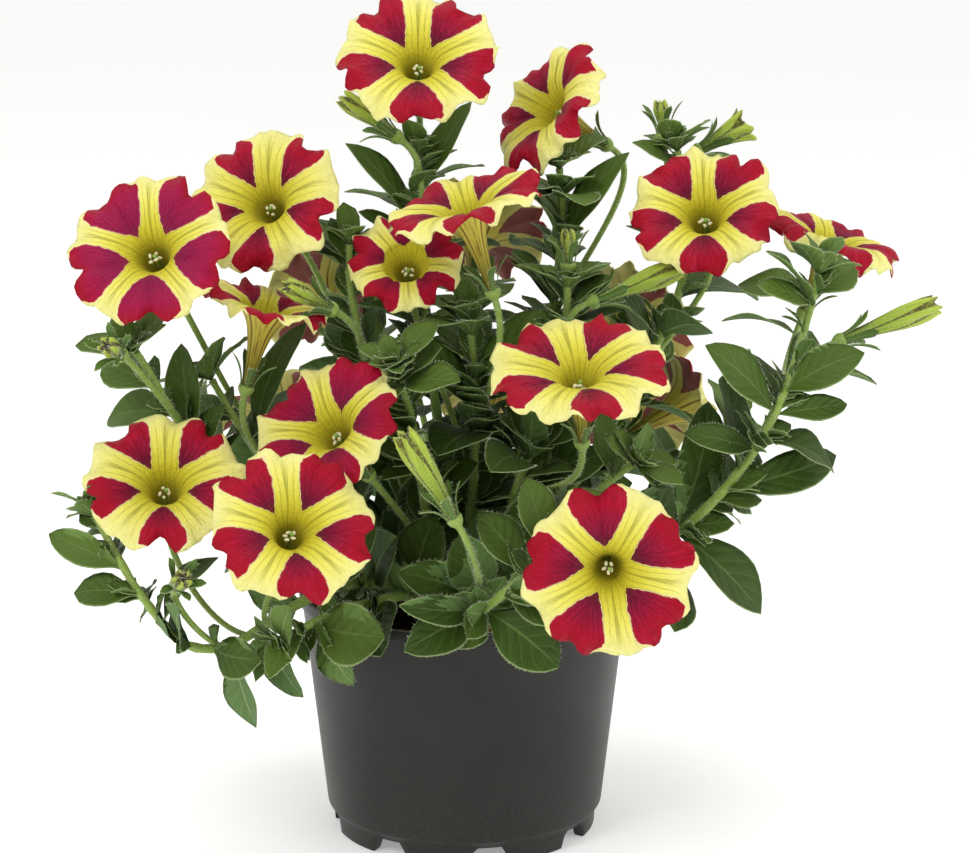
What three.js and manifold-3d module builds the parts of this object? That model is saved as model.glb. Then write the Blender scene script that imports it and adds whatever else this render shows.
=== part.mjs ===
// Potted trailing petunia, in millimetres with +Z up.
// The origin is the centre of the pot's base, and the front of the plant faces -Y.

import * as THREE from 'three';
import { mergeVertices } from 'three/addons/utils/BufferGeometryUtils.js';
import Module from 'manifold-3d';

const wasm = await Module();
wasm.setup();

// Pot
const RIM_RADIUS = 60;
const POT_HEIGHT = 89;
const LIP_HEIGHT = 5;
const LIP_OVERHANG = 1.2;
const WALL = 1.4;
const WALL_FOOT_RADIUS = 50.3;
const STEP_HEIGHT = 9;
const FOOT_RADIUS = 47.8;
const FOOT_WIDTH = 4;
const ARCH_HEIGHT = 6;
const ARCH_WIDTH = 16;
const ARCH_COUNT = 8;
const ARCH_TURN = 11;
const FLOOR_UNDERSIDE = 7.4;
const FLOOR_TOP = 9.2;
const PAD_RADIUS = 20;
const ARCH_TOP_SHARE = 0.6;
const POT_SIDES = 28;

// Soil
const SOIL_TOP = 81;
const SOIL_GAP = 0.3;
const SOIL_SWELL = 1.1;
const STEM_FOOT = 62;
const HOLE_RADIUS = 4.5;
const HOLE_SIDES = 4;
const HOLE_LENGTH = 30;
const LABEL_SLACK = 0.4;

// Label stake
const LABEL_WIDTH = 11;
const LABEL_THICKNESS = 0.9;
const LABEL_LENGTH = 38;
const LABEL_POINT = 10;
const LABEL_TOP = [19, -46, 98];
const LABEL_LEAN = 27;
const LABEL_TILT = -8;

// Stems and stalks
const STEM_RADIUS = 2.4;
const TIP_RADIUS = 1.3;
const STEM_SIDES = 5;
const STEM_STEP = 18;
const STALK_RADIUS = 1.0;
const STALK_STEP = 18;
const WALK_SAMPLES = 60;

// Calyx and seat of a bloom or bud
const CUP_HEIGHT = 4.2;
const CUP_RADIUS = 2.9;
const CUP_INNER = 1.9;
const SEPALS = 5;
const SEPAL_LENGTH = 11;
const SEPAL_HALF_ANGLE = 20;
const SEPAL_SPREAD = 7.2;
const SEAT_GAP = 0.3;

// Blooms
const PETALS = 5;
const TUBE_FOOT_RADIUS = 1.7;
const TUBE_MID_RADIUS = 2.9;
const THROAT_RADIUS = 6.4;
const PETAL_THICKNESS = 0.9;
const NOTCH = 0.86;
const LOBE_ANGLE = 18;
const MOUTH = 0.48;

// Leaves
const LEAF_THICKNESS = 1.6;
const LEAF_ROOT = 0.9;
const LEAF_TURN_OUT = 1.3;
const LEAF_TURN_UP = 0.7;
const LEAF_STEP_LOW = 19;
const LEAF_STEP_HIGH = 11;
const GOLDEN_ANGLE = 137.5;
const TUFT_LIFTS = [12, 58, 18, 50, 26];
const TUFT_LENGTHS = [22, 16, 21, 17, 19];
const TUFT_WIDTH = 0.54;
const TUFT_SCALES = [1, 0.8, 0.6, 0.45];
const CLEARANCE = 0.4;
const SAMPLE_STEP = 2.6;
const SAMPLE_RADIUS = 1.4;
const CELL = 12;

// Leafy stems: the hole in the soil, then the way of the stem above it.
// 'leafy' is where the ruled leaves start, measured along the stem, and 'size' is about the length of its leaves.
// 'leaves' holds the leaves that stand out at the front: place along the stem, tip, and width.
const STEMS = [
  { name: 'left_trailer', hole: [-14, -14], seed: 11, leafy: 34, size: 26,
    way: [[-29, -29, 98], [-46, -45, 101], [-64, -60, 95], [-79, -70, 88], [-93, -76, 90],
      [-108, -75, 107], [-118, -69, 122], [-124, -65, 132]],
    leaves: [[165, [-140, -66, 126], 11], [150, [-108, -56, 98], 12], [122, [-67, -90, 89], 14]] },
  { name: 'front_left', hole: [-7, -22], seed: 17, leafy: 28, size: 24,
    way: [[-17, -38, 96], [-32, -56, 99], [-48, -69, 97], [-60, -79, 93]],
    leaves: [[94, [-26, -84, 95], 21], [96, [-64, -94, 84], 10]] },
  { name: 'left_out', hole: [-19, -5], seed: 23, leafy: 36, size: 28,
    way: [[-32, -12, 104], [-57, -22, 116], [-82, -33, 137], [-100, -39, 162], [-107, -44, 177], [-111, -48, 185]],
    leaves: [[128, [-98, -27, 184], 14], [126, [-82, -40, 165], 10]] },
  { name: 'left_side', hole: [-20, 7], seed: 37, leafy: 36, size: 28,
    way: [[-34, 4, 106], [-52, -6, 120], [-68, -19, 138], [-78, -26, 154], [-88, -22, 170]],
    leaves: [[112, [-56, -18, 190], 13]] },
  { name: 'left_upper', hole: [-8, 5], seed: 41, leafy: 34, size: 30,
    way: [[-16, 3, 112], [-28, -1, 145], [-36, -6, 178], [-40, -10, 204], [-40, -10, 216]],
    leaves: [[92, [-8, -22, 170], 17]] },
  { name: 'centre_left', hole: [-6, -7], seed: 53, leafy: 34, size: 30,
    way: [[-11, -16, 108], [-15, -27, 136], [-18, -38, 160], [-23, -50, 180]] },
  { name: 'centre_up', hole: [1, -1], seed: 67, leafy: 40, size: 30,
    way: [[2, -6, 112], [4, -14, 145], [4, -20, 172], [2, -22, 192]],
    leaves: [[108, [30, -34, 196], 16], [96, [-22, -30, 188], 16]] },
  { name: 'centre', hole: [9, -6], seed: 71, leafy: 36, size: 30,
    way: [[14, -14, 110], [22, -22, 142], [32, -28, 172], [36, -29, 194], [36, -29, 203]],
    leaves: [[80, [9, -72, 149], 17], [100, [12, -60, 176], 15], [104, [64, -40, 172], 16]] },
  { name: 'front', hole: [2, -20], seed: 83, leafy: 22, size: 26,
    way: [[3, -32, 95], [6, -52, 98], [7, -64, 99], [17, -76, 111], [28, -86, 125], [33, -91, 134]],
    leaves: [[68, [-20, -90, 108], 10], [66, [-19, -85, 91], 16], [84, [37, -98, 117], 10],
      [60, [-1, -58, 124], 17], [56, [-22, -66, 113], 14]] },
  { name: 'right_low', hole: [13, -17], seed: 97, leafy: 30, size: 28,
    way: [[22, -30, 103], [34, -42, 122], [46, -54, 138], [57, -65, 150]],
    leaves: [[70, [13, -62, 129], 20]] },
  { name: 'right_trailer', hole: [20, -8], seed: 101, leafy: 40, size: 30,
    way: [[32, -22, 100], [52, -42, 110], [76, -58, 127], [94, -60, 147], [106, -55, 166],
      [114, -46, 185], [119, -40, 201], [121, -38, 210]],
    leaves: [[128, [129, -42, 148], 14], [104, [84, -44, 167], 19], [146, [74, -74, 163], 10],
      [160, [131, -48, 167], 9], [168, [134, -64, 188], 14], [166, [121, -26, 188], 13], [160, [81, -66, 191], 16],
      [204, [134, -26, 213], 13], [202, [95, -26, 205], 17], [200, [99, -52, 209], 9]] },
  { name: 'right_upper', hole: [20, 5], seed: 113, leafy: 36, size: 30,
    way: [[32, 7, 112], [50, 9, 142], [66, 10, 170], [78, 12, 198], [80, 14, 224], [76, 13, 246]],
    leaves: [[190, [60, 9, 250], 9], [92, [28, -8, 166], 18], [128, [50, -14, 200], 16]] },
  { name: 'top_right', hole: [9, 7], seed: 127, leafy: 40, size: 30,
    way: [[15, 11, 116], [24, 15, 152], [32, 17, 188], [35, 15, 220], [34, 11, 240]],
    leaves: [[150, [58, 12, 246], 12], [150, [16, -8, 240], 13], [130, [17, 0, 212], 17],
      [112, [56, -6, 192], 18]] },
  { name: 'top_centre', hole: [-1, 10], seed: 131, leafy: 40, size: 30,
    way: [[-5, 13, 118], [-11, 17, 156], [-15, 20, 192], [-17, 21, 224], [-17, 22, 243]],
    leaves: [[150, [-42, 12, 249], 14], [144, [-38, 14, 224], 12], [166, [3, 26, 262], 12]] },
  { name: 'back_top', hole: [5, 19], seed: 149, leafy: 34, size: 30,
    way: [[7, 27, 110], [8, 36, 140], [6, 45, 166], [3, 51, 185]] },
  { name: 'back_top_left', hole: [-13, 16], seed: 151, leafy: 34, size: 30,
    way: [[-21, 25, 108], [-32, 35, 134], [-37, 38, 158], [-34, 42, 178], [-32, 44, 190]] },
  { name: 'back_top_right', hole: [17, 15], seed: 163, leafy: 34, size: 30,
    way: [[27, 24, 108], [41, 34, 130], [53, 43, 152], [60, 46, 172]] },
  { name: 'back_left', hole: [-21, 24], seed: 173, leafy: 30, size: 28,
    way: [[-37, 38, 99], [-56, 54, 103], [-74, 66, 112], [-92, 72, 124], [-104, 74, 138]] },
  { name: 'back_mid', hole: [-4, 29], seed: 181, leafy: 28, size: 28,
    way: [[-6, 46, 98], [-9, 66, 102], [-12, 84, 112], [-16, 98, 126], [-20, 106, 142]] },
  { name: 'back_right', hole: [20, 28], seed: 193, leafy: 30, size: 28,
    way: [[34, 42, 99], [52, 58, 101], [70, 72, 106], [88, 78, 117], [100, 76, 132]] },
];

// Blooms: stem, place of the stalk along it, middle of the limb, azimuth and elevation that it faces,
// radius, turn of its first ray, length of the tube, and how far the edge bends back.
const BLOOMS = [
  { name: 'top_centre', stem: 'top_centre', from: 128, at: [-16, 0, 281], face: [-90, 43], radius: 28.5, turn: 90,
    tube: 30, bend: 1.5 },
  { name: 'top_right', stem: 'top_right', from: 120, at: [28, 20, 262], face: [-150, 31], radius: 26, turn: 60,
    tube: 30, bend: 4 },
  { name: 'left_upper', stem: 'left_side', from: 92, at: [-105, -55, 222], face: [-100, 34], radius: 27.7, turn: 92,
    tube: 31, bend: 1.5 },
  { name: 'left_back', stem: 'left_upper', from: 62, at: [-70, -12, 232], face: [-109, 32], radius: 27.6, turn: 84,
    tube: 31, bend: 2 },
  { name: 'left_side', stem: 'left_side', from: 76, at: [-67, -36, 200], face: [-11, 75], radius: 22, turn: 90,
    tube: 30, bend: 1 },
  { name: 'centre_up', stem: 'centre_up', from: 84, at: [0, -45, 237], face: [-154, 71], radius: 28.4, turn: 95,
    tube: 33, bend: 2 },
  { name: 'centre_left', stem: 'centre_up', from: 66, at: [-20, -24, 213], face: [-95, 41], radius: 20, turn: 60,
    tube: 27, bend: 2 },
  { name: 'right_upper', stem: 'right_upper', from: 110, at: [83, -20, 230], face: [-101, 42], radius: 26.4, turn: 88,
    tube: 31, bend: 2 },
  { name: 'right_back', stem: 'right_trailer', from: 150, at: [134, 24, 215], face: [-13, 71], radius: 26, turn: 100,
    tube: 30, bend: 5 },
  { name: 'centre', stem: 'centre', from: 60, at: [38, -85, 188], face: [-98, 66], radius: 30, turn: 102,
    tube: 30, bend: 2 },
  { name: 'left_low', stem: 'left_trailer', from: 108, at: [-100, -70, 146], face: [-86, 46], radius: 27, turn: 92,
    tube: 31, bend: 2 },
  { name: 'front_low', stem: 'left_trailer', from: 100, at: [-55, -100, 138], face: [-77, 38], radius: 27.4, turn: 100,
    tube: 31, bend: 1 },
  { name: 'left_mid', stem: 'centre_left', from: 34, at: [-46, -62, 163], face: [-124, 43], radius: 27, turn: 100,
    tube: 31, bend: 1 },
  { name: 'right_low', stem: 'right_low', from: 46, at: [48, -100, 122], face: [-91, 6], radius: 28.8, turn: 63,
    tube: 30, bend: 1 },
  { name: 'back_high', stem: 'back_top', from: 90, at: [5, 62, 211], face: [84, 38], radius: 27, turn: 20,
    tube: 30, bend: 2 },
  { name: 'back_left_high', stem: 'back_top_left', from: 72, at: [-56, 66, 186], face: [116, 34], radius: 26, turn: 75,
    tube: 30, bend: 2 },
  { name: 'back_right_high', stem: 'back_top_right', from: 70, at: [62, 66, 178], face: [62, 36], radius: 27, turn: 40,
    tube: 30, bend: 1 },
  { name: 'back_low', stem: 'back_mid', from: 50, at: [12, 104, 142], face: [76, 30], radius: 27, turn: 10,
    tube: 30, bend: 2 },
  { name: 'back_left_low', stem: 'back_left', from: 62, at: [-70, 82, 138], face: [112, 40], radius: 26, turn: 50,
    tube: 30, bend: 1 },
  { name: 'back_right_low', stem: 'back_right', from: 66, at: [62, 92, 132], face: [72, 32], radius: 26, turn: 85,
    tube: 30, bend: 2 },
  { name: 'right_side', stem: 'back_top_right', from: 40, at: [84, 38, 150], face: [22, 24], radius: 25, turn: 30,
    tube: 30, bend: 2 },
];

// Buds: stem, place of the stalk along it, foot and tip of the bud, and its greatest radius.
const BUDS = [
  { name: 'top_left', stem: 'top_centre', from: 146, foot: [-25, 12, 252], tip: [-43, 9, 266], radius: 3.4 },
  { name: 'half_open', stem: 'right_upper', from: 158, foot: [85, 19, 246], tip: [101, 21, 255], radius: 4.6 },
  { name: 'upper_right', stem: 'right_upper', from: 170, foot: [71, 17, 252], tip: [70, 18, 263], radius: 2.4 },
  { name: 'middle_right', stem: 'centre', from: 106, foot: [46, -31, 200], tip: [75, -22, 210], radius: 4.0 },
  { name: 'middle_up', stem: 'centre', from: 122, foot: [36, -30, 213], tip: [36, -31, 224], radius: 2.4 },
  { name: 'far_right', stem: 'right_trailer', from: 136, foot: [130, -41, 188], tip: [163, -33, 199], radius: 4.0 },
  { name: 'front_left', stem: 'front', from: 52, foot: [-3, -89, 138], tip: [-19, -96, 168], radius: 4.2 },
  { name: 'left_end', stem: 'left_out', from: 138, foot: [-115, -61, 187], tip: [-118, -71, 192], radius: 3.2 },
  { name: 'left_middle', stem: 'left_upper', from: 96, foot: [-46, -36, 198], tip: [-60, -48, 208], radius: 3.2 },
  { name: 'left_low', stem: 'left_trailer', from: 118, foot: [-94, -91, 115], tip: [-91, -99, 120], radius: 3.2 },
];

const UP = new THREE.Vector3(0, 0, 1);
const ACROSS = new THREE.Vector3(1, 0, 0);
const AWAY = new THREE.Vector3(0, 1, 0);
const FRONT = new THREE.Vector3(0, -0.9, 0.45);
const HEART = new THREE.Vector3(0, 0, 90);

const vector = (point) => new THREE.Vector3(...point);
const radians = THREE.MathUtils.degToRad;

function direction(azimuth, elevation) {
  const level = Math.cos(radians(elevation));
  return new THREE.Vector3(
    level * Math.cos(radians(azimuth)), level * Math.sin(radians(azimuth)), Math.sin(radians(elevation)));
}

// Two directions square to a given one, which turn with it
function squareTo(axis) {
  const hint = Math.abs(axis.x) < 0.8 ? ACROSS : AWAY;
  const first = hint.clone().addScaledVector(axis, -hint.dot(axis)).normalize();
  return [first, axis.clone().cross(first)];
}

// Seeded draw of numbers between 0 and 1, the same on every run
function drawer(seed) {
  let state = seed;
  return () => {
    state = (state * 16807) % 2147483647;
    return state / 2147483647;
  };
}

// A closed mesh from points and triangles
class Skin {
  constructor() {
    this.points = [];
    this.triangles = [];
  }

  point(x) {
    this.points.push(x.x, x.y, x.z);
    return this.points.length / 3 - 1;
  }

  triangle(a, b, c) {
    this.triangles.push(a, b, c);
  }

  fan(ring, flip) {
    for (let i = 1; i + 1 < ring.length; i += 1) {
      if (flip) this.triangle(ring[0], ring[i + 1], ring[i]);
      else this.triangle(ring[0], ring[i], ring[i + 1]);
    }
  }

  // Joins two rings, which may differ in their number of points
  band(lower, upper, flip = false) {
    let i = 0;
    let j = 0;
    const n = lower.length;
    const m = upper.length;
    while (i < n || j < m) {
      const stepLower = j >= m || (i < n && (i + 1) / n <= (j + 1) / m + 1e-9);
      const a = lower[i % n];
      const b = stepLower ? lower[(i + 1) % n] : upper[(j + 1) % m];
      const c = upper[j % m];
      if (flip) this.triangle(a, c, b);
      else this.triangle(a, b, c);
      if (stepLower) i += 1;
      else j += 1;
    }
  }

  solid() {
    return solidOf(this.points, this.triangles);
  }
}

function volumeOf(points, triangles) {
  let sum = 0;
  for (let t = 0; t < triangles.length; t += 3) {
    const [a, b, c] = [0, 1, 2].map((k) => new THREE.Vector3().fromArray(points, 3 * triangles[t + k]));
    sum += a.dot(b.cross(c)) / 6;
  }
  return sum;
}

// The solid bounded by a closed mesh, with its faces turned outwards
function solidOf(points, triangles) {
  const turned = Uint32Array.from(triangles);
  if (volumeOf(points, triangles) < 0) {
    for (let t = 0; t < turned.length; t += 3) [turned[t], turned[t + 1]] = [turned[t + 1], turned[t]];
  }
  return new wasm.Manifold(new wasm.Mesh({
    numProp: 3, vertProperties: Float32Array.from(points), triVerts: turned,
  }));
}

function solidOfGeometry(geometry) {
  const bare = geometry.clone();
  bare.deleteAttribute('normal');
  bare.deleteAttribute('uv');
  const merged = mergeVertices(bare, 1e-4);
  return solidOf(merged.attributes.position.array, merged.index.array);
}

const join = (solids) => solids.reduce((whole, next) => whole.add(next));

const root = new THREE.Group();

// The triangles of the largest body of a mesh: a sealed hollow is filled, and a loose scrap is dropped
function largestBody({ vertProperties, triVerts }) {
  const parent = Array.from({ length: vertProperties.length / 3 }, (_, i) => i);
  const find = (i) => {
    while (parent[i] !== i) i = parent[i];
    return i;
  };
  for (let t = 0; t < triVerts.length; t += 3) {
    const lead = find(triVerts[t]);
    parent[find(triVerts[t + 1])] = lead;
    parent[find(triVerts[t + 2])] = lead;
  }
  const bodies = new Map();
  for (let t = 0; t < triVerts.length; t += 3) {
    const body = find(triVerts[t]);
    bodies.set(body, [...(bodies.get(body) ?? []), ...triVerts.slice(t, t + 3)]);
  }
  return [...bodies.values()].reduce((best, next) => (next.length > best.length ? next : best));
}

function addMesh(name, solid, material) {
  const mesh = solid.getMesh();
  const geometry = new THREE.BufferGeometry();
  geometry.setAttribute('position', new THREE.BufferAttribute(mesh.vertProperties, 3));
  geometry.setIndex(largestBody(mesh));
  geometry.computeVertexNormals();
  const piece = new THREE.Mesh(geometry, material.clone());
  piece.name = name;
  root.add(piece);
}

const MATERIALS = {
  pot: new THREE.MeshStandardMaterial({ color: 0x38342f, roughness: 0.55 }),
  soil: new THREE.MeshStandardMaterial({ color: 0x2a1d14, roughness: 0.95 }),
  label: new THREE.MeshStandardMaterial({ color: 0xd9960f, roughness: 0.45 }),
  leaf: new THREE.MeshStandardMaterial({ color: 0x3f6b2a, roughness: 0.6 }),
  bloom: new THREE.MeshStandardMaterial({ color: 0xe9dc62, roughness: 0.6 }),
  bud: new THREE.MeshStandardMaterial({ color: 0xa9b83a, roughness: 0.6 }),
};

// A curve that is walked by distance
class Walk {
  constructor(curve) {
    this.points = curve.getPoints(WALK_SAMPLES);
    this.sums = [0];
    for (let i = 1; i < this.points.length; i += 1) {
      this.sums.push(this.sums[i - 1] + this.points[i].distanceTo(this.points[i - 1]));
    }
    this.length = this.sums[WALK_SAMPLES];
  }

  at(distance) {
    let i = 1;
    while (i < WALK_SAMPLES && this.sums[i] < distance) i += 1;
    const part = (distance - this.sums[i - 1]) / (this.sums[i] - this.sums[i - 1]);
    const point = this.points[i - 1].clone().lerp(this.points[i], part);
    const heading = this.points[i].clone().sub(this.points[i - 1]).normalize();
    return { point, heading };
  }
}

const evenTurns = (count) => Array.from({ length: count }, (_, i) => i * 360 / count);

// Points round a centre, in the plane of two directions
function ring(skin, centre, [first, second], radius, turns) {
  return turns.map((turn) => skin.point(centre.clone()
    .addScaledVector(first, radius * Math.cos(radians(turn)))
    .addScaledVector(second, radius * Math.sin(radians(turn)))));
}

// The rings of a tube along a walk, closed at its start and open at its end. Each ring follows the turn of the last.
function openTube(skin, walk, radiusAt, sides, steps, lastAxis) {
  let frame = squareTo(walk.at(0).heading);
  let last = null;
  for (let i = 0; i <= steps; i += 1) {
    const { point, heading } = walk.at(walk.length * i / steps);
    const axis = i === steps ? lastAxis : heading;
    const first = frame[0].clone().addScaledVector(axis, -frame[0].dot(axis)).normalize();
    frame = [first, axis.clone().cross(first)];
    const next = ring(skin, point, frame, radiusAt(i / steps), evenTurns(sides));
    if (last) skin.band(last, next);
    else skin.fan(next, true);
    last = next;
  }
  return { last, frame };
}

// Spheres that stand for what is already placed, so that leaves can keep clear of it
const placed = new Map();
const cellOf = (x) => Math.floor(x / CELL);

function occupy(node, point, radius) {
  const key = [point.x, point.y, point.z].map(cellOf).join();
  if (!placed.has(key)) placed.set(key, []);
  placed.get(key).push({ node, x: point.x, y: point.y, z: point.z, radius });
}

function* near(point) {
  const [i, j, k] = [point.x, point.y, point.z].map(cellOf);
  for (let a = i - 1; a <= i + 1; a += 1) {
    for (let b = j - 1; b <= j + 1; b += 1) {
      for (let c = k - 1; c <= k + 1; c += 1) yield* placed.get([a, b, c].join()) ?? [];
    }
  }
}

function potClear(point) {
  const out = Math.hypot(point.x, point.y);
  if (out < RIM_RADIUS - 6) return point.z > SOIL_TOP + 4;
  if (out < RIM_RADIUS + 5) return point.z > POT_HEIGHT + 2.5;
  return point.z > 4;
}

function isFree(node, samples) {
  for (const { point, radius, rooted } of samples) {
    if (!rooted && !potClear(point)) return false;
    for (const other of near(point)) {
      const same = other.node === node;
      if (same && rooted) continue;
      const reach = (radius + other.radius) * (same ? 0.8 : 1) + CLEARANCE;
      const dx = point.x - other.x;
      const dy = point.y - other.y;
      const dz = point.z - other.z;
      if (dx * dx + dy * dy + dz * dz < reach * reach) return false;
    }
  }
  return true;
}

// Pot: a thin wall with a lip, a step, a flat base on a middle pad, and a foot ring cut by arches
function makePot() {
  const lipFoot = POT_HEIGHT - LIP_HEIGHT;
  const wallTop = RIM_RADIUS - LIP_OVERHANG;
  const outline = [
    [0, 0], [PAD_RADIUS, 0], [PAD_RADIUS + 0.5, FLOOR_UNDERSIDE], [FOOT_RADIUS - FOOT_WIDTH - 0.5, FLOOR_UNDERSIDE],
    [FOOT_RADIUS - FOOT_WIDTH, 0], [FOOT_RADIUS, 0], [FOOT_RADIUS + 0.4, STEP_HEIGHT - 2],
    [WALL_FOOT_RADIUS, STEP_HEIGHT], [wallTop, lipFoot], [RIM_RADIUS, lipFoot + 0.8], [RIM_RADIUS, POT_HEIGHT],
    [RIM_RADIUS - WALL, POT_HEIGHT], [wallTop - WALL - 0.4, lipFoot - 1], [WALL_FOOT_RADIUS - WALL, FLOOR_TOP],
    [0, FLOOR_TOP],
  ];
  const body = new THREE.LatheGeometry(outline.map(([x, y]) => new THREE.Vector2(x, y)), POT_SIDES);
  body.rotateX(Math.PI / 2);
  let solid = solidOfGeometry(body);
  for (let i = 0; i < ARCH_COUNT; i += 1) {
    const arch = new THREE.Shape();
    const half = ARCH_WIDTH / 2;
    arch.moveTo(-half, -1);
    arch.lineTo(half, -1);
    arch.lineTo(half * ARCH_TOP_SHARE, ARCH_HEIGHT);
    arch.lineTo(-half * ARCH_TOP_SHARE, ARCH_HEIGHT);
    const cutter = new THREE.ExtrudeGeometry(arch, { depth: FOOT_WIDTH + 5, bevelEnabled: false });
    cutter.rotateX(Math.PI / 2);
    cutter.translate(0, FOOT_RADIUS + 3, 0);
    cutter.rotateZ(radians(ARCH_TURN + i * 360 / ARCH_COUNT));
    solid = solid.subtract(solidOfGeometry(cutter));
  }
  addMesh('pot', solid, MATERIALS.pot);
}

// Radius of the inside of the pot at a height
const potInside = (height) => THREE.MathUtils.mapLinear(
  height, FLOOR_TOP, POT_HEIGHT - LIP_HEIGHT - 1, WALL_FOOT_RADIUS - WALL, RIM_RADIUS - LIP_OVERHANG - WALL - 0.4);

// Where the middle of the label lies, and how it leans
const LABEL_PLACE = new THREE.Matrix4().makeTranslation(...LABEL_TOP)
  .multiply(new THREE.Matrix4().makeRotationX(radians(LABEL_TILT)))
  .multiply(new THREE.Matrix4().makeRotationY(radians(LABEL_LEAN)))
  .multiply(new THREE.Matrix4().makeTranslation(0, 0, -LABEL_LENGTH / 2));

// Soil: fills the pot to below its lip, with a softly uneven top and a hole for each stem
function makeSoil() {
  const floor = FLOOR_TOP + SOIL_GAP;
  const side = potInside(SOIL_TOP) - SOIL_GAP;
  const outline = [
    [0, floor], [potInside(floor) - SOIL_GAP, floor], [side, SOIL_TOP], [side * 0.6, SOIL_TOP + 0.6], [0, SOIL_TOP + 1],
  ];
  const body = new THREE.LatheGeometry(outline.map(([x, y]) => new THREE.Vector2(x, y)), POT_SIDES);
  body.rotateX(Math.PI / 2);
  const place = body.attributes.position;
  for (let i = 0; i < place.count; i += 1) {
    if (place.getZ(i) > SOIL_TOP - 1 && Math.hypot(place.getX(i), place.getY(i)) < side - 1) {
      const swell = Math.sin(place.getX(i) * 0.23 + 1) * Math.cos(place.getY(i) * 0.19);
      place.setZ(i, place.getZ(i) + SOIL_SWELL * swell);
    }
  }
  let solid = solidOfGeometry(body);
  for (const stem of STEMS) {
    const hole = new THREE.CylinderGeometry(HOLE_RADIUS, HOLE_RADIUS, HOLE_LENGTH, HOLE_SIDES);
    hole.rotateX(Math.PI / 2);
    hole.translate(stem.hole[0], stem.hole[1], STEM_FOOT - SOIL_GAP + HOLE_LENGTH / 2);
    solid = solid.subtract(solidOfGeometry(hole));
  }
  const slot = new THREE.BoxGeometry(
    LABEL_WIDTH + 2 * LABEL_SLACK, LABEL_THICKNESS + 2 * LABEL_SLACK, LABEL_LENGTH);
  slot.applyMatrix4(LABEL_PLACE);
  solid = solid.subtract(solidOfGeometry(slot));
  addMesh('soil', solid, MATERIALS.soil);
}

// Label: a plain flat stake with a pointed foot
function makeLabel() {
  const half = LABEL_WIDTH / 2;
  const stake = new THREE.Shape();
  stake.moveTo(-half, LABEL_LENGTH / 2 - 2);
  stake.lineTo(-half, -LABEL_LENGTH / 2 + LABEL_POINT);
  stake.lineTo(0, -LABEL_LENGTH / 2 + 1);
  stake.lineTo(half, -LABEL_LENGTH / 2 + LABEL_POINT);
  stake.lineTo(half, LABEL_LENGTH / 2 - 2);
  stake.lineTo(half - 2, LABEL_LENGTH / 2);
  stake.lineTo(2 - half, LABEL_LENGTH / 2);
  const body = new THREE.ExtrudeGeometry(stake, { depth: LABEL_THICKNESS, bevelEnabled: false });
  body.rotateX(Math.PI / 2);
  body.translate(0, LABEL_THICKNESS / 2, 0);
  body.applyMatrix4(LABEL_PLACE);
  addMesh('label', solidOfGeometry(body), MATERIALS.label);
}

// Leaf: a folded blade between its foot and tip, arched along its midrib
function bladeRows(leaf, shares) {
  const along = leaf.tip.clone().sub(leaf.foot);
  const length = along.length();
  along.normalize();
  const face = leaf.face.clone().addScaledVector(along, -leaf.face.dot(along)).normalize();
  const side = along.clone().cross(face);
  return shares.map(([share, width]) => {
    const rib = leaf.foot.clone().addScaledVector(along, length * share);
    rib.addScaledVector(face, leaf.arch * length * 4 * share * (1 - share));
    return { rib, face, side, half: leaf.width / 2 * width };
  });
}

const LARGE_ROWS = [[0.34, 0.84], [0.7, 0.9]];
const SMALL_ROWS = [[0.5, 1]];
const LARGE_LEAF = 19;

// Across a leaf, the upper face lies flat between its edges, and the midrib stands out as a keel below it
function section(skin, row, half, keel) {
  const corners = [
    row.rib.clone().addScaledVector(row.side, -half).addScaledVector(row.face, keel * 0.4),
    row.rib.clone().addScaledVector(row.side, half).addScaledVector(row.face, keel * 0.4),
    row.rib.clone().addScaledVector(row.face, -keel * 0.6),
  ];
  return corners.map((corner) => skin.point(corner));
}

function leafSolid(leaf) {
  const rows = leaf.tip.distanceTo(leaf.foot) > LARGE_LEAF ? LARGE_ROWS : SMALL_ROWS;
  const skin = new Skin();
  const way = leaf.tip.clone().sub(leaf.foot).normalize();
  const foot = skin.point(leaf.foot.clone().addScaledVector(way, -LEAF_ROOT));
  const tip = skin.point(leaf.tip);
  const sections = bladeRows(leaf, rows).map((row) => section(skin, row, row.half, LEAF_THICKNESS));
  const [first, last] = [sections[0], sections[sections.length - 1]];
  for (let i = 0; i < 3; i += 1) {
    skin.triangle(first[(i + 1) % 3], first[i], foot);
    skin.triangle(last[i], last[(i + 1) % 3], tip);
  }
  if (first !== last) skin.band(first, last);
  return skin.solid();
}

function leafSamples(leaf) {
  const length = leaf.tip.distanceTo(leaf.foot);
  const count = Math.max(3, Math.ceil(length / SAMPLE_STEP));
  const samples = [];
  for (let i = 1; i <= count; i += 1) {
    const share = i / count;
    const width = Math.sin(Math.PI * Math.min(1, 0.1 + 0.86 * share)) ** 0.7;
    const [row] = bladeRows(leaf, [[share, share === 1 ? 0 : width]]);
    const across = Math.ceil(row.half / SAMPLE_STEP);
    for (let k = -across; k <= across; k += 1) {
      const out = across ? k / across : 0;
      const point = row.rib.clone().addScaledVector(row.side, out * row.half);
      samples.push({ point, radius: SAMPLE_RADIUS, rooted: share * length < 9 });
    }
  }
  return samples;
}

// The way out of the middle of the plant, to which the leaves turn their faces
const outward = (point) => point.clone().sub(HEART).normalize();

// Changes that are tried until a leaf is clear: it keeps its size for as long as another turn or lift will do
const TRIES = [1, 0.84, 0.68].flatMap((scale) => [0, 25, -20, 45].flatMap((lift) => (
  [0, 35, -35, 70, -70, 110, -110, 150, -150].map((turn) => [turn, lift, scale]))));

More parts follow.
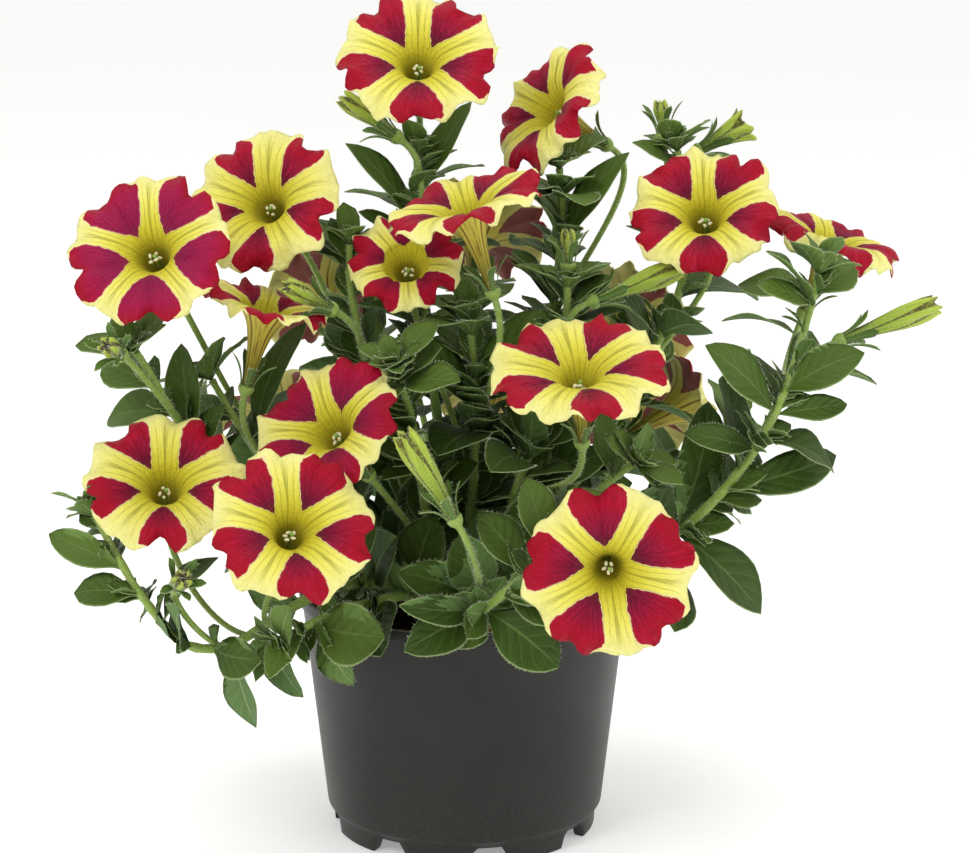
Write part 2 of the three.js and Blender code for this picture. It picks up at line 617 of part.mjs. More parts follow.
function ruledLeaf(walk, slot, [turn, lift, scale]) {
  const { point, heading } = walk.at(slot.along);
  const [first, second] = squareTo(heading);
  const angle = radians(slot.turn + turn);
  const out = first.clone().multiplyScalar(Math.cos(angle)).addScaledVector(second, Math.sin(angle));
  const rise = radians(slot.lift + lift);
  const way = out.clone().multiplyScalar(Math.cos(rise)).addScaledVector(heading, Math.sin(rise));
  const length = slot.length * scale;
  return {
    foot: point,
    tip: point.clone().addScaledVector(way, length),
    face: outward(point).multiplyScalar(LEAF_TURN_OUT).addScaledVector(heading, LEAF_TURN_UP).addScaledVector(out, -0.3),
    width: length * slot.wide,
    arch: slot.arch,
  };
}

function keyLeaf(walk, [along, tip, width]) {
  const { point } = walk.at(along);
  return {
    foot: point,
    tip: vector(tip),
    face: outward(point).addScaledVector(FRONT, 0.8),
    width,
    arch: 0.1,
  };
}

function leafSlots(stem, walk) {
  const draw = drawer(stem.seed);
  const slots = [];
  let turn = draw() * 360;
  let along = stem.leafy;
  while (along < walk.length - 6) {
    turn += GOLDEN_ANGLE + (draw() - 0.5) * 30;
    const youth = along / walk.length;
    slots.push({
      along,
      turn,
      lift: -20 + 40 * draw() + 22 * youth,
      length: stem.size * (1 + 0.3 * draw()) * (1.15 - 0.45 * youth * youth),
      wide: 0.54 + 0.12 * draw(),
      arch: 0.07 + 0.09 * draw(),
    });
    along += THREE.MathUtils.lerp(LEAF_STEP_LOW, LEAF_STEP_HIGH, youth);
  }
  return slots;
}

// Tuft: the last ring of a stem closes in a point, and a young leaf grows from each of its sides
function tuftLeaf(walk, frame, k, scale) {
  const { point, heading } = walk.at(walk.length);
  const turn = radians((k + 0.5) * 360 / STEM_SIDES);
  const out = frame[0].clone().multiplyScalar(Math.cos(turn)).addScaledVector(frame[1], Math.sin(turn));
  const lift = radians(TUFT_LIFTS[k]);
  const way = out.clone().multiplyScalar(Math.cos(lift)).addScaledVector(heading, Math.sin(lift));
  way.z += 0.15;
  const length = TUFT_LENGTHS[k] * scale;
  return {
    foot: point,
    tip: point.clone().addScaledVector(way.normalize(), length),
    face: heading.clone().addScaledVector(out, -0.5),
    width: length * TUFT_WIDTH,
    arch: 0.1,
  };
}

function closeWithTuft(skin, last, walk, leaves) {
  const { point, heading } = walk.at(walk.length);
  const middle = skin.point(point.clone().addScaledVector(heading, 1.2));
  leaves.forEach((leaf, k) => {
    const [row] = bladeRows(leaf, [[0.5, 1]]);
    const [right, left, keel] = section(skin, row, row.half, LEAF_THICKNESS);
    const [here, next] = [last[k], last[(k + 1) % last.length]];
    const tip = skin.point(leaf.tip);
    skin.triangle(here, next, keel);
    skin.triangle(here, keel, left);
    skin.triangle(next, right, keel);
    skin.triangle(left, keel, tip);
    skin.triangle(keel, right, tip);
    skin.triangle(left, tip, right);
    skin.triangle(middle, left, right);
    skin.triangle(middle, here, left);
    skin.triangle(middle, right, next);
  });
}

// Stalk with a calyx: rings along a curve, then a cup with a flat seat and five sepals
function stalkSolid(start, heading, seat, facing) {
  const end = seat.clone().addScaledVector(facing, -CUP_HEIGHT);
  const reach = start.distanceTo(end) * 0.32;
  const leave = end.clone().sub(start).normalize().add(heading).normalize();
  const curve = new THREE.CubicBezierCurve3(
    start, start.clone().addScaledVector(leave, reach), end.clone().addScaledVector(facing, -reach), end);
  const walk = new Walk(curve);
  const skin = new Skin();
  const steps = Math.max(2, Math.round(walk.length / STALK_STEP));
  const radiusAt = (share) => STALK_RADIUS * (1 + 0.25 * share);
  const { last, frame } = openTube(skin, walk, radiusAt, SEPALS, steps, facing);
  const turns = evenTurns(SEPALS);
  const pairs = turns.flatMap((turn) => [turn - SEPAL_HALF_ANGLE, turn + SEPAL_HALF_ANGLE]);
  const brim = ring(skin, seat, frame, CUP_RADIUS, pairs);
  const inner = ring(skin, seat, frame, CUP_INNER, turns);
  const tips = ring(skin, seat.clone().addScaledVector(facing, SEPAL_LENGTH), frame, SEPAL_SPREAD, turns);
  for (let k = 0; k < SEPALS; k += 1) {
    const left = 2 * k;
    const right = 2 * k + 1;
    const beyond = (2 * k + 2) % (2 * SEPALS);
    const next = (k + 1) % SEPALS;
    skin.triangle(last[k], brim[right], brim[left]);
    skin.triangle(last[k], last[next], brim[right]);
    skin.triangle(last[next], brim[beyond], brim[right]);
    skin.triangle(brim[left], brim[right], tips[k]);
    skin.triangle(brim[right], inner[k], tips[k]);
    skin.triangle(inner[k], brim[left], tips[k]);
    skin.triangle(brim[right], brim[beyond], inner[next]);
    skin.triangle(brim[right], inner[next], inner[k]);
  }
  skin.fan(inner, false);
  return { solid: skin.solid(), walk };
}

// Corolla: a thin trumpet whose edge has two lobes in each petal and a notch between petals
function corollaSolid(bloom, facing) {
  const middle = vector(bloom.at);
  const [first, second] = squareTo(facing);
  const skin = new Skin();
  const spot = (angle, height, radius) => middle.clone()
    .addScaledVector(facing, height)
    .addScaledVector(first, radius * Math.cos(radians(angle)))
    .addScaledVector(second, radius * Math.sin(radians(angle)));
  const seams = Array.from({ length: PETALS }, (_, k) => bloom.turn + 360 / PETALS * (k + 0.5));
  const halves = seams.flatMap((seam) => [seam, seam + 36]);
  const corners = seams.flatMap((seam) => [seam, seam + 36 - LOBE_ANGLE, seam + 36 + LOBE_ANGLE]);
  const ring = (angles, height, radius) => angles.map((angle) => skin.point(spot(angle, height, radius)));
  const edge = corners.map((angle, i) => {
    const notch = i % 3 === 0;
    const sway = 1 + 0.035 * Math.sin(2.3 * i + bloom.turn);
    const wave = 1.1 * Math.sin(1.7 * i + 0.3 * bloom.turn);
    return skin.point(spot(angle, wave - bloom.bend + (notch ? 1.2 : 0), bloom.radius * sway * (notch ? NOTCH : 1)));
  });
  const length = bloom.tube;
  const mouth = bloom.radius * MOUTH;
  const outside = [
    ring(seams, -length, TUBE_FOOT_RADIUS), ring(seams, -0.62 * length, TUBE_MID_RADIUS),
    ring(halves, -0.22 * length, THROAT_RADIUS), ring(halves, -0.7, mouth), edge,
  ];
  const inside = [
    ring(seams, -0.5 * length, TUBE_MID_RADIUS - 0.5),
    ring(halves, -0.22 * length + 0.3, THROAT_RADIUS - PETAL_THICKNESS),
    ring(halves, -0.7 + PETAL_THICKNESS, mouth - 0.3), edge,
  ];
  skin.fan(outside[0], true);
  for (let i = 0; i + 1 < outside.length; i += 1) skin.band(outside[i], outside[i + 1]);
  skin.fan(inside[0], false);
  for (let i = 0; i + 1 < inside.length; i += 1) skin.band(inside[i], inside[i + 1], true);
  return skin.solid();
}

function occupyCorolla(node, bloom, facing) {
  const middle = vector(bloom.at);
  const [first, second] = squareTo(facing);
  for (let h = -bloom.tube; h < -2; h += 3) {
    const share = 1 + h / bloom.tube;
    occupy(node, middle.clone().addScaledVector(facing, h), 1.8 + 6.5 * share ** 2.2);
  }
  for (const [share, count] of [[0.38, 8], [0.6, 12], [0.8, 16], [0.98, 20]]) {
    for (let i = 0; i < count; i += 1) {
      const angle = 2 * Math.PI * i / count;
      occupy(node, middle.clone()
        .addScaledVector(first, bloom.radius * share * Math.cos(angle))
        .addScaledVector(second, bloom.radius * share * Math.sin(angle))
        .addScaledVector(facing, -bloom.bend * share * share), 2.8);
    }
  }
}

// Bud: a furled spindle
const BUD_OUTLINE = [[0, 0.42], [0.3, 0.62], [0.62, 1], [0.86, 0.86], [1, 0.3]];
const BUD_SIDES = 5;

function budSolid(bud, facing) {
  const foot = vector(bud.foot).addScaledVector(facing, SEAT_GAP);
  const length = vector(bud.tip).distanceTo(foot);
  const [first, second] = squareTo(facing);
  const skin = new Skin();
  const rings = BUD_OUTLINE.map(([share, width], k) => Array.from({ length: BUD_SIDES }, (_, i) => {
    const angle = radians(360 * i / BUD_SIDES + 14 * k);
    const radius = k === 0 ? Math.min(TUBE_FOOT_RADIUS, bud.radius * width) : bud.radius * width;
    return skin.point(foot.clone().addScaledVector(facing, share * length)
      .addScaledVector(first, radius * Math.cos(angle)).addScaledVector(second, radius * Math.sin(angle)));
  }));
  skin.fan(rings[0], true);
  for (let k = 0; k + 1 < rings.length; k += 1) skin.band(rings[k], rings[k + 1]);
  skin.fan(rings[rings.length - 1], false);
  return skin.solid();
}

const stemRadius = (share) => THREE.MathUtils.lerp(STEM_RADIUS, TIP_RADIUS, share);

// Stems first, then what they carry, so that the leaves keep clear of all of it
const growths = new Map();
for (const stem of STEMS) {
  const [x, y] = stem.hole;
  const points = [[x, y, STEM_FOOT], [x, y, SOIL_TOP - 7], [x, y, SOIL_TOP + 4], ...stem.way].map(vector);
  const walk = new Walk(new THREE.CatmullRomCurve3(points));
  const node = `stem_${stem.name}`;
  growths.set(stem.name, { stem, node, walk, solids: [] });
  for (let along = 0; along < walk.length; along += 3) {
    occupy(node, walk.at(along).point, stemRadius(along / walk.length));
  }
}

function growStalk(stemName, from, seat, facing) {
  const { node, walk, solids } = growths.get(stemName);
  const { point, heading } = walk.at(from);
  const stalk = stalkSolid(point, heading, seat, facing);
  solids.push(stalk.solid);
  for (let along = 0; along < stalk.walk.length; along += 3) occupy(node, stalk.walk.at(along).point, STALK_RADIUS);
  for (let h = 0; h <= SEPAL_LENGTH; h += 3) {
    occupy(node, seat.clone().addScaledVector(facing, h), CUP_RADIUS + 0.4 * h);
  }
}

for (const bloom of BLOOMS) {
  const facing = direction(...bloom.face);
  const seat = vector(bloom.at).addScaledVector(facing, -bloom.tube - SEAT_GAP);
  growStalk(bloom.stem, bloom.from, seat, facing);
  occupyCorolla(`bloom_${bloom.name}`, bloom, facing);
  addMesh(`bloom_${bloom.name}`, corollaSolid(bloom, facing), MATERIALS.bloom);
}

for (const bud of BUDS) {
  const facing = vector(bud.tip).sub(vector(bud.foot)).normalize();
  growStalk(bud.stem, bud.from, vector(bud.foot), facing);
  const node = `bud_${bud.name}`;
  const length = vector(bud.tip).distanceTo(vector(bud.foot));
  for (let h = 0; h <= length; h += 3) occupy(node, vector(bud.foot).addScaledVector(facing, h), bud.radius);
  addMesh(node, budSolid(bud, facing), MATERIALS.bud);
}

for (let down = 0; down <= LABEL_LENGTH; down += 4) {
  for (let across = -LABEL_WIDTH / 2; across <= LABEL_WIDTH / 2; across += LABEL_WIDTH / 4) {
    occupy('label', new THREE.Vector3(across, 0, LABEL_LENGTH / 2 - down).applyMatrix4(LABEL_PLACE), 2);
  }
}

function growLeaf({ node, solids }, leaf, samples) {
  for (const { point, radius, rooted } of samples) if (!rooted) occupy(node, point, radius);
  solids.push(leafSolid(leaf));
}

for (const growth of growths.values()) {
  for (const key of growth.stem.leaves ?? []) {
    const leaf = keyLeaf(growth.walk, key);
    growLeaf(growth, leaf, leafSamples(leaf));
  }
}

for (const growth of growths.values()) {
  const { node, walk, solids } = growth;
  const skin = new Skin();
  const steps = Math.round(walk.length / STEM_STEP);
  const { last, frame } = openTube(skin, walk, stemRadius, STEM_SIDES, steps, walk.at(walk.length).heading);
  const leaves = TUFT_LIFTS.map((_, k) => {
    const sizes = TUFT_SCALES.map((scale) => tuftLeaf(walk, frame, k, scale));
    return sizes.find((leaf) => isFree(node, leafSamples(leaf))) ?? sizes[sizes.length - 1];
  });
  for (const leaf of leaves) {
    for (const { point, radius, rooted } of leafSamples(leaf)) if (!rooted) occupy(node, point, radius);
  }
  closeWithTuft(skin, last, walk, leaves);
  solids.push(skin.solid());
  growth.slots = leafSlots(growth.stem, walk);
}

const longest = Math.max(...[...growths.values()].map((growth) => growth.slots.length));
for (let i = 0; i < longest; i += 1) {
  for (const growth of growths.values()) {
    if (i >= growth.slots.length) continue;
    for (const change of TRIES) {
      const leaf = ruledLeaf(growth.walk, growth.slots[i], change);
      const samples = leafSamples(leaf);
      if (!isFree(growth.node, samples)) continue;
      growLeaf(growth, leaf, samples);
      break;
    }
  }
}

makePot();
makeSoil();
makeLabel();
for (const { node, solids } of growths.values()) addMesh(node, join(solids), MATERIALS.leaf);

export default root;
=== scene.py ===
# Potted trailing petunia: fine meshes and materials over the solids of the frame.
# Shapes are worked out in millimetres and scaled to metres when a piece is finished.
import math
from collections import namedtuple

import bmesh
import bpy
import numpy as np
from bpy.props import FloatProperty, FloatVectorProperty, IntProperty, PointerProperty
from mathutils import Color, Matrix, Vector, kdtree, noise


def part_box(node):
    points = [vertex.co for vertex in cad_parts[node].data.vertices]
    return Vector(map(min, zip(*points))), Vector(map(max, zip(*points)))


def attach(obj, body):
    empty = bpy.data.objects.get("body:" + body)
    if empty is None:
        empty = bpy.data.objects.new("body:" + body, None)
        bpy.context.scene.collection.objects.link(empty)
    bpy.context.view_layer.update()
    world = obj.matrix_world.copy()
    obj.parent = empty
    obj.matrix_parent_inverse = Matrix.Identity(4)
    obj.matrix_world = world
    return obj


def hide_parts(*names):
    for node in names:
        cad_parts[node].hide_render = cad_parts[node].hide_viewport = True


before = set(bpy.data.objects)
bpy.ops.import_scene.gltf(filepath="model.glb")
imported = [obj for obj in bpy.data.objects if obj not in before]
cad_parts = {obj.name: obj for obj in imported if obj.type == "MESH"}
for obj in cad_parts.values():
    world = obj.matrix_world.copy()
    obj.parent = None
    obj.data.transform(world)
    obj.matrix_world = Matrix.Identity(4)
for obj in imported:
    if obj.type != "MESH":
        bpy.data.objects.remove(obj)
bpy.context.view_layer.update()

bl_info = {
    "name": "Potted trailing petunia",
    "version": (1, 0, 0),
    "blender": (4, 5, 0),
    "location": "3D View > Sidebar > Petunia",
    "description": "Pot, soil, leafy stems, blooms and buds of a potted trailing petunia",
    "category": "Add Mesh",
}

MM = 0.001

Stem = namedtuple("Stem", "name hole seed leafy size way leaves", defaults=((),))
Bloom = namedtuple("Bloom", "name stem start at face radius turn tube bend tone")
Bud = namedtuple("Bud", "name stem start foot tip radius")
Leaf = namedtuple("Leaf", "foot tip face width arch youth")
Station = namedtuple("Station", "point first second radius")

# Leafy stems: the hole in the soil, a seed, the place along the stem of the first ruled leaf, about how long
# its leaves are, the way above the soil, and the key leaves, each as its place along the stem, tip and width.
STEMS = (
    Stem("left_trailer", hole=(-14, -14), seed=11, leafy=34, size=26,
         way=((-29, -29, 98), (-46, -45, 101), (-64, -60, 95), (-79, -70, 88), (-93, -76, 90),
              (-108, -75, 107), (-118, -69, 122), (-124, -65, 132)),
         leaves=((165, (-140, -66, 126), 11), (150, (-108, -56, 98), 12), (122, (-67, -90, 89), 14))),
    Stem("front_left", hole=(-7, -22), seed=17, leafy=28, size=24,
         way=((-17, -38, 96), (-32, -56, 99), (-48, -69, 97), (-60, -79, 93)),
         leaves=((94, (-26, -84, 95), 21), (96, (-64, -94, 84), 10))),
    Stem("left_out", hole=(-19, -5), seed=23, leafy=36, size=28,
         way=((-32, -12, 104), (-57, -22, 116), (-82, -33, 137), (-100, -39, 162), (-107, -44, 177),
              (-111, -48, 185)),
         leaves=((128, (-98, -27, 184), 14), (126, (-82, -40, 165), 10))),
    Stem("left_side", hole=(-20, 7), seed=37, leafy=36, size=28,
         way=((-34, 4, 106), (-52, -6, 120), (-68, -19, 138), (-78, -26, 154), (-88, -22, 170)),
         leaves=((112, (-56, -18, 190), 13),)),
    Stem("left_upper", hole=(-8, 5), seed=41, leafy=34, size=30,
         way=((-16, 3, 112), (-28, -1, 145), (-36, -6, 178), (-40, -10, 204), (-40, -10, 216)),
         leaves=((92, (-8, -22, 170), 17),)),
    Stem("centre_left", hole=(-6, -7), seed=53, leafy=34, size=30,
         way=((-11, -16, 108), (-15, -27, 136), (-18, -38, 160), (-23, -50, 180))),
    Stem("centre_up", hole=(1, -1), seed=67, leafy=40, size=30,
         way=((2, -6, 112), (4, -14, 145), (4, -20, 172), (2, -22, 192)),
         leaves=((108, (30, -34, 196), 16), (96, (-22, -30, 188), 16))),
    Stem("centre", hole=(9, -6), seed=71, leafy=36, size=30,
         way=((14, -14, 110), (22, -22, 142), (32, -28, 172), (36, -29, 194), (36, -29, 203)),
         leaves=((80, (9, -72, 149), 17), (100, (12, -60, 176), 15), (104, (64, -40, 172), 16))),
    Stem("front", hole=(2, -20), seed=83, leafy=22, size=26,
         way=((3, -32, 95), (6, -52, 98), (7, -64, 99), (17, -76, 111), (28, -86, 125), (33, -91, 134)),
         leaves=((68, (-20, -90, 108), 10), (66, (-19, -85, 91), 16), (84, (37, -98, 117), 10),
                 (60, (-1, -58, 124), 17), (56, (-22, -66, 113), 14))),
    Stem("right_low", hole=(13, -17), seed=97, leafy=30, size=28,
         way=((22, -30, 103), (34, -42, 122), (46, -54, 138), (57, -65, 150)),
         leaves=((70, (13, -62, 129), 20),)),
    Stem("right_trailer", hole=(20, -8), seed=101, leafy=40, size=30,
         way=((32, -22, 100), (52, -42, 110), (76, -58, 127), (94, -60, 147), (106, -55, 166),
              (114, -46, 185), (119, -40, 201), (121, -38, 210)),
         leaves=((128, (129, -42, 148), 14), (104, (84, -44, 167), 19), (146, (74, -74, 163), 10),
                 (160, (131, -48, 167), 9), (168, (134, -64, 188), 14), (166, (121, -26, 188), 13),
                 (160, (81, -66, 191), 16), (204, (134, -26, 213), 13), (202, (95, -26, 205), 17),
                 (200, (99, -52, 209), 9))),
    Stem("right_upper", hole=(20, 5), seed=113, leafy=36, size=30,
         way=((32, 7, 112), (50, 9, 142), (66, 10, 170), (78, 12, 198), (80, 14, 224), (76, 13, 246)),
         leaves=((190, (60, 9, 250), 9), (92, (28, -8, 166), 18), (128, (50, -14, 200), 16))),
    Stem("top_right", hole=(9, 7), seed=127, leafy=40, size=30,
         way=((15, 11, 116), (24, 15, 152), (32, 17, 188), (35, 15, 220), (34, 11, 240)),
         leaves=((150, (58, 12, 246), 12), (150, (16, -8, 240), 13), (130, (17, 0, 212), 17),
                 (112, (56, -6, 192), 18))),
    Stem("top_centre", hole=(-1, 10), seed=131, leafy=40, size=30,
         way=((-5, 13, 118), (-11, 17, 156), (-15, 20, 192), (-17, 21, 224), (-17, 22, 243)),
         leaves=((150, (-42, 12, 249), 14), (144, (-38, 14, 224), 12), (166, (3, 26, 262), 12))),
    Stem("back_top", hole=(5, 19), seed=149, leafy=34, size=30,
         way=((7, 27, 110), (8, 36, 140), (6, 45, 166), (3, 51, 185))),
    Stem("back_top_left", hole=(-13, 16), seed=151, leafy=34, size=30,
         way=((-21, 25, 108), (-32, 35, 134), (-37, 38, 158), (-34, 42, 178), (-32, 44, 190))),
    Stem("back_top_right", hole=(17, 15), seed=163, leafy=34, size=30,
         way=((27, 24, 108), (41, 34, 130), (53, 43, 152), (60, 46, 172))),
    Stem("back_left", hole=(-21, 24), seed=173, leafy=30, size=28,
         way=((-37, 38, 99), (-56, 54, 103), (-74, 66, 112), (-92, 72, 124), (-104, 74, 138))),
    Stem("back_mid", hole=(-4, 29), seed=181, leafy=28, size=28,
         way=((-6, 46, 98), (-9, 66, 102), (-12, 84, 112), (-16, 98, 126), (-20, 106, 142))),
    Stem("back_right", hole=(20, 28), seed=193, leafy=30, size=28,
         way=((34, 42, 99), (52, 58, 101), (70, 72, 106), (88, 78, 117), (100, 76, 132))),
)

# Blooms: the stem and the place along it where the stalk leaves, the middle of the mouth, the azimuth and
# elevation it faces, its radius, turn, tube length, how far its edge rolls back, how wide its hearts are.
BLOOMS = (
    Bloom("top_centre", "top_centre", 128, at=(-16, 0, 281), face=(-90, 43), radius=28.5, turn=90,
          tube=30, bend=1.5, tone=0.5),
    Bloom("top_right", "top_right", 120, at=(28, 20, 262), face=(-150, 31), radius=26, turn=60,
          tube=30, bend=4, tone=0.6),
    Bloom("left_upper", "left_side", 92, at=(-105, -55, 222), face=(-100, 34), radius=27.7, turn=92,
          tube=31, bend=1.5, tone=0.12),
    Bloom("left_back", "left_upper", 62, at=(-70, -12, 232), face=(-109, 32), radius=27.6, turn=84,
          tube=31, bend=2, tone=0.85),
    Bloom("left_side", "left_side", 76, at=(-67, -36, 200), face=(-11, 75), radius=22, turn=90,
          tube=30, bend=1, tone=0.5),
    Bloom("centre_up", "centre_up", 84, at=(0, -45, 237), face=(-154, 71), radius=28.4, turn=95,
          tube=33, bend=2, tone=0.6),
    Bloom("centre_left", "centre_up", 66, at=(-20, -24, 213), face=(-95, 41), radius=20, turn=60,
          tube=27, bend=2, tone=0.4),
    Bloom("right_upper", "right_upper", 110, at=(83, -20, 230), face=(-101, 42), radius=26.4, turn=88,
          tube=31, bend=2, tone=0.45),
    Bloom("right_back", "right_trailer", 150, at=(134, 24, 215), face=(-13, 71), radius=26, turn=100,
          tube=30, bend=5, tone=0.4),
    Bloom("centre", "centre", 60, at=(38, -85, 188), face=(-98, 66), radius=30, turn=102,
          tube=30, bend=2, tone=0.75),
    Bloom("left_low", "left_trailer", 108, at=(-100, -70, 146), face=(-86, 46), radius=27, turn=92,
          tube=31, bend=2, tone=0.7),
    Bloom("front_low", "left_trailer", 100, at=(-55, -100, 138), face=(-77, 38), radius=27.4, turn=100,
          tube=31, bend=1, tone=0.55),
    Bloom("left_mid", "centre_left", 34, at=(-46, -62, 163), face=(-124, 43), radius=27, turn=100,
          tube=31, bend=1, tone=0.3),
    Bloom("right_low", "right_low", 46, at=(48, -100, 122), face=(-91, 6), radius=28.8, turn=63,
          tube=30, bend=1, tone=0.4),
    Bloom("back_high", "back_top", 90, at=(5, 62, 211), face=(84, 38), radius=27, turn=20,
          tube=30, bend=2, tone=0.5),
    Bloom("back_left_high", "back_top_left", 72, at=(-56, 66, 186), face=(116, 34), radius=26, turn=75,
          tube=30, bend=2, tone=0.3),
    Bloom("back_right_high", "back_top_right", 70, at=(62, 66, 178), face=(62, 36), radius=27, turn=40,
          tube=30, bend=1, tone=0.7),
    Bloom("back_low", "back_mid", 50, at=(12, 104, 142), face=(76, 30), radius=27, turn=10,
          tube=30, bend=2, tone=0.45),
    Bloom("back_left_low", "back_left", 62, at=(-70, 82, 138), face=(112, 40), radius=26, turn=50,
          tube=30, bend=1, tone=0.6),
    Bloom("back_right_low", "back_right", 66, at=(62, 92, 132), face=(72, 32), radius=26, turn=85,
          tube=30, bend=2, tone=0.2),
    Bloom("right_side", "back_top_right", 40, at=(84, 38, 150), face=(22, 24), radius=25, turn=30,
          tube=30, bend=2, tone=0.55),
)

# Buds: the stem and the place along it where the stalk leaves, both ends and the radius.
BUDS = (
    Bud("top_left", "top_centre", 146, foot=(-25, 12, 252), tip=(-43, 9, 266), radius=3.4),
    Bud("half_open", "right_upper", 158, foot=(85, 19, 246), tip=(101, 21, 255), radius=4.6),
    Bud("upper_right", "right_upper", 170, foot=(71, 17, 252), tip=(70, 18, 263), radius=2.4),
    Bud("middle_right", "centre", 106, foot=(46, -31, 200), tip=(75, -22, 210), radius=4.0),
    Bud("middle_up", "centre", 122, foot=(36, -30, 213), tip=(36, -31, 224), radius=2.4),
    Bud("far_right", "right_trailer", 136, foot=(130, -41, 188), tip=(163, -33, 199), radius=4.0),
    Bud("front_left", "front", 52, foot=(-3, -89, 138), tip=(-19, -96, 168), radius=4.2),
    Bud("left_end", "left_out", 138, foot=(-115, -61, 187), tip=(-118, -71, 192), radius=3.2),
    Bud("left_middle", "left_upper", 96, foot=(-46, -36, 198), tip=(-60, -48, 208), radius=3.2),
    Bud("left_low", "left_trailer", 118, foot=(-94, -91, 115), tip=(-91, -99, 120), radius=3.2),
)

# Sizes and rules that the stems, stalks and leaves share with their solids
STEM_FOOT = 62
SOIL_TOP = 81
SOIL_FLOOR = 9.5
STEM_RADIUS = 2.4
TIP_RADIUS = 1.3
STEM_SIDES = 5
STEP = 18
STALK_RADIUS = 1.0
STALK_REACH = 0.32
WALK_SAMPLES = 60
CUP_HEIGHT = 4.2
CUP_RADIUS = 2.9
SEPALS = 5
SEPAL_LENGTH = 11
SEPAL_SPREAD = 7.2
SEAT_GAP = 0.3
LEAF_STEPS = (19, 11)
GOLDEN_ANGLE = 137.5
TUFT_LIFTS = (12, 58, 18, 50, 26)
TUFT_LENGTHS = (22, 16, 21, 17, 19)
TUFT_WIDTH = 0.54
TUFT_SCALES = (1, 0.8, 0.6, 0.45)
TUFT_RISE = 0.15
LEAF_TURN_OUT = 1.3
LEAF_TURN_UP = 0.7
KEY_ARCH = 0.1
TRIES = [(turn, lift, scale) for scale in (1, 0.84, 0.68) for lift in (0, 25, -20, 45)
         for turn in (0, 35, -35, 70, -70, 110, -110, 150, -150)]
TIP_MATCH = 0.06
FRONT = Vector((0, -0.9, 0.45))
HEART = Vector((0, 0, 90))
UP = Vector((0, 0, 1))


def drawer(seed):
    """Seeded draw of numbers between 0 and 1, the same on every run."""
    state = seed

    def draw():
        nonlocal state
        state = state * 16807 % 2147483647
        return state / 2147483647
    return draw


def direction(azimuth, elevation):
    """The way that an azimuth and an elevation in degrees give."""
    turn, lift = math.radians(azimuth), math.radians(elevation)
    return Vector((math.cos(lift) * math.cos(turn), math.cos(lift) * math.sin(turn), math.sin(lift)))


def square_to(axis):
    """Two directions square to a given one, which turn with it."""
    hint = Vector((1, 0, 0)) if abs(axis.x) < 0.8 else Vector((0, 1, 0))
    first = (hint - axis * hint.dot(axis)).normalized()
    return first, axis.cross(first)


def around(first, second, turn):
    """The direction at a turn in radians, from first towards second."""
    return first * math.cos(turn) + second * math.sin(turn)


def bell(value, width):
    """1 at 0, falling off smoothly past a width on both sides."""
    return math.exp(-(value / width) ** 2)


def lerp(a, b, share):
    """The value at a share of the way from a to b."""
    return a + (b - a) * share


def smooth(low, high, value):
    """0 up to low, 1 from high, with an easy rise between them."""
    share = min(1.0, max(0.0, (value - low) / (high - low)))
    return share * share * (3 - 2 * share)


def through(points, share):
    """A point on the centripetal spline through points, at a share of their number."""
    place = (len(points) - 1) * share
    i = min(int(place), len(points) - 2)
    x1, x2 = points[i], points[i + 1]
    x0 = points[i - 1] if i else x1 * 2 - x2
    x3 = points[i + 2] if i + 2 < len(points) else x2 * 2 - x1
    d0, d1, d2 = (max((b - a).length ** 0.5, 1e-4) for a, b in ((x0, x1), (x1, x2), (x2, x3)))
    t1 = ((x1 - x0) / d0 - (x2 - x0) / (d0 + d1) + (x2 - x1) / d1) * d1
    t2 = ((x2 - x1) / d1 - (x3 - x1) / (d1 + d2) + (x3 - x2) / d2) * d1
    s = place - i
    return x1 + t1 * s + (x1 * -3 + x2 * 3 - t1 * 2 - t2) * s * s + (x1 * 2 - x2 * 2 + t1 + t2) * s ** 3


class Walk:
    """A curve that is walked by distance."""

    def __init__(self, at):
        self.points = [at(i / WALK_SAMPLES) for i in range(WALK_SAMPLES + 1)]
        self.sums = [0.0]
        for a, b in zip(self.points, self.points[1:]):
            self.sums.append(self.sums[-1] + (b - a).length)
        self.length = self.sums[-1]

    def at(self, distance):
        """The point and the heading at a distance, which may lie past either end."""
        i = 1
        while i < WALK_SAMPLES and self.sums[i] < distance:
            i += 1
        a, b = self.points[i - 1], self.points[i]
        share = (distance - self.sums[i - 1]) / (self.sums[i] - self.sums[i - 1])
        return a.lerp(b, share) if 0 <= share <= 1 else a + (b - a) * share, (b - a).normalized()

    def frames(self, steps, last_axis):
        """Even stations as point and two directions across, each following the turn of the last."""
        across = square_to(self.at(0)[1])
        found = []
        for i in range(steps + 1):
            point, axis = self.at(self.length * i / steps)
            if i == steps:
                axis = last_axis
            first = (across[0] - axis * across[0].dot(axis)).normalized()
            across = (first, axis.cross(first))
            found.append((point, *across))
        return found


def round_up(value):
    """The nearest whole number, with halves up."""
    return int(value + 0.5)


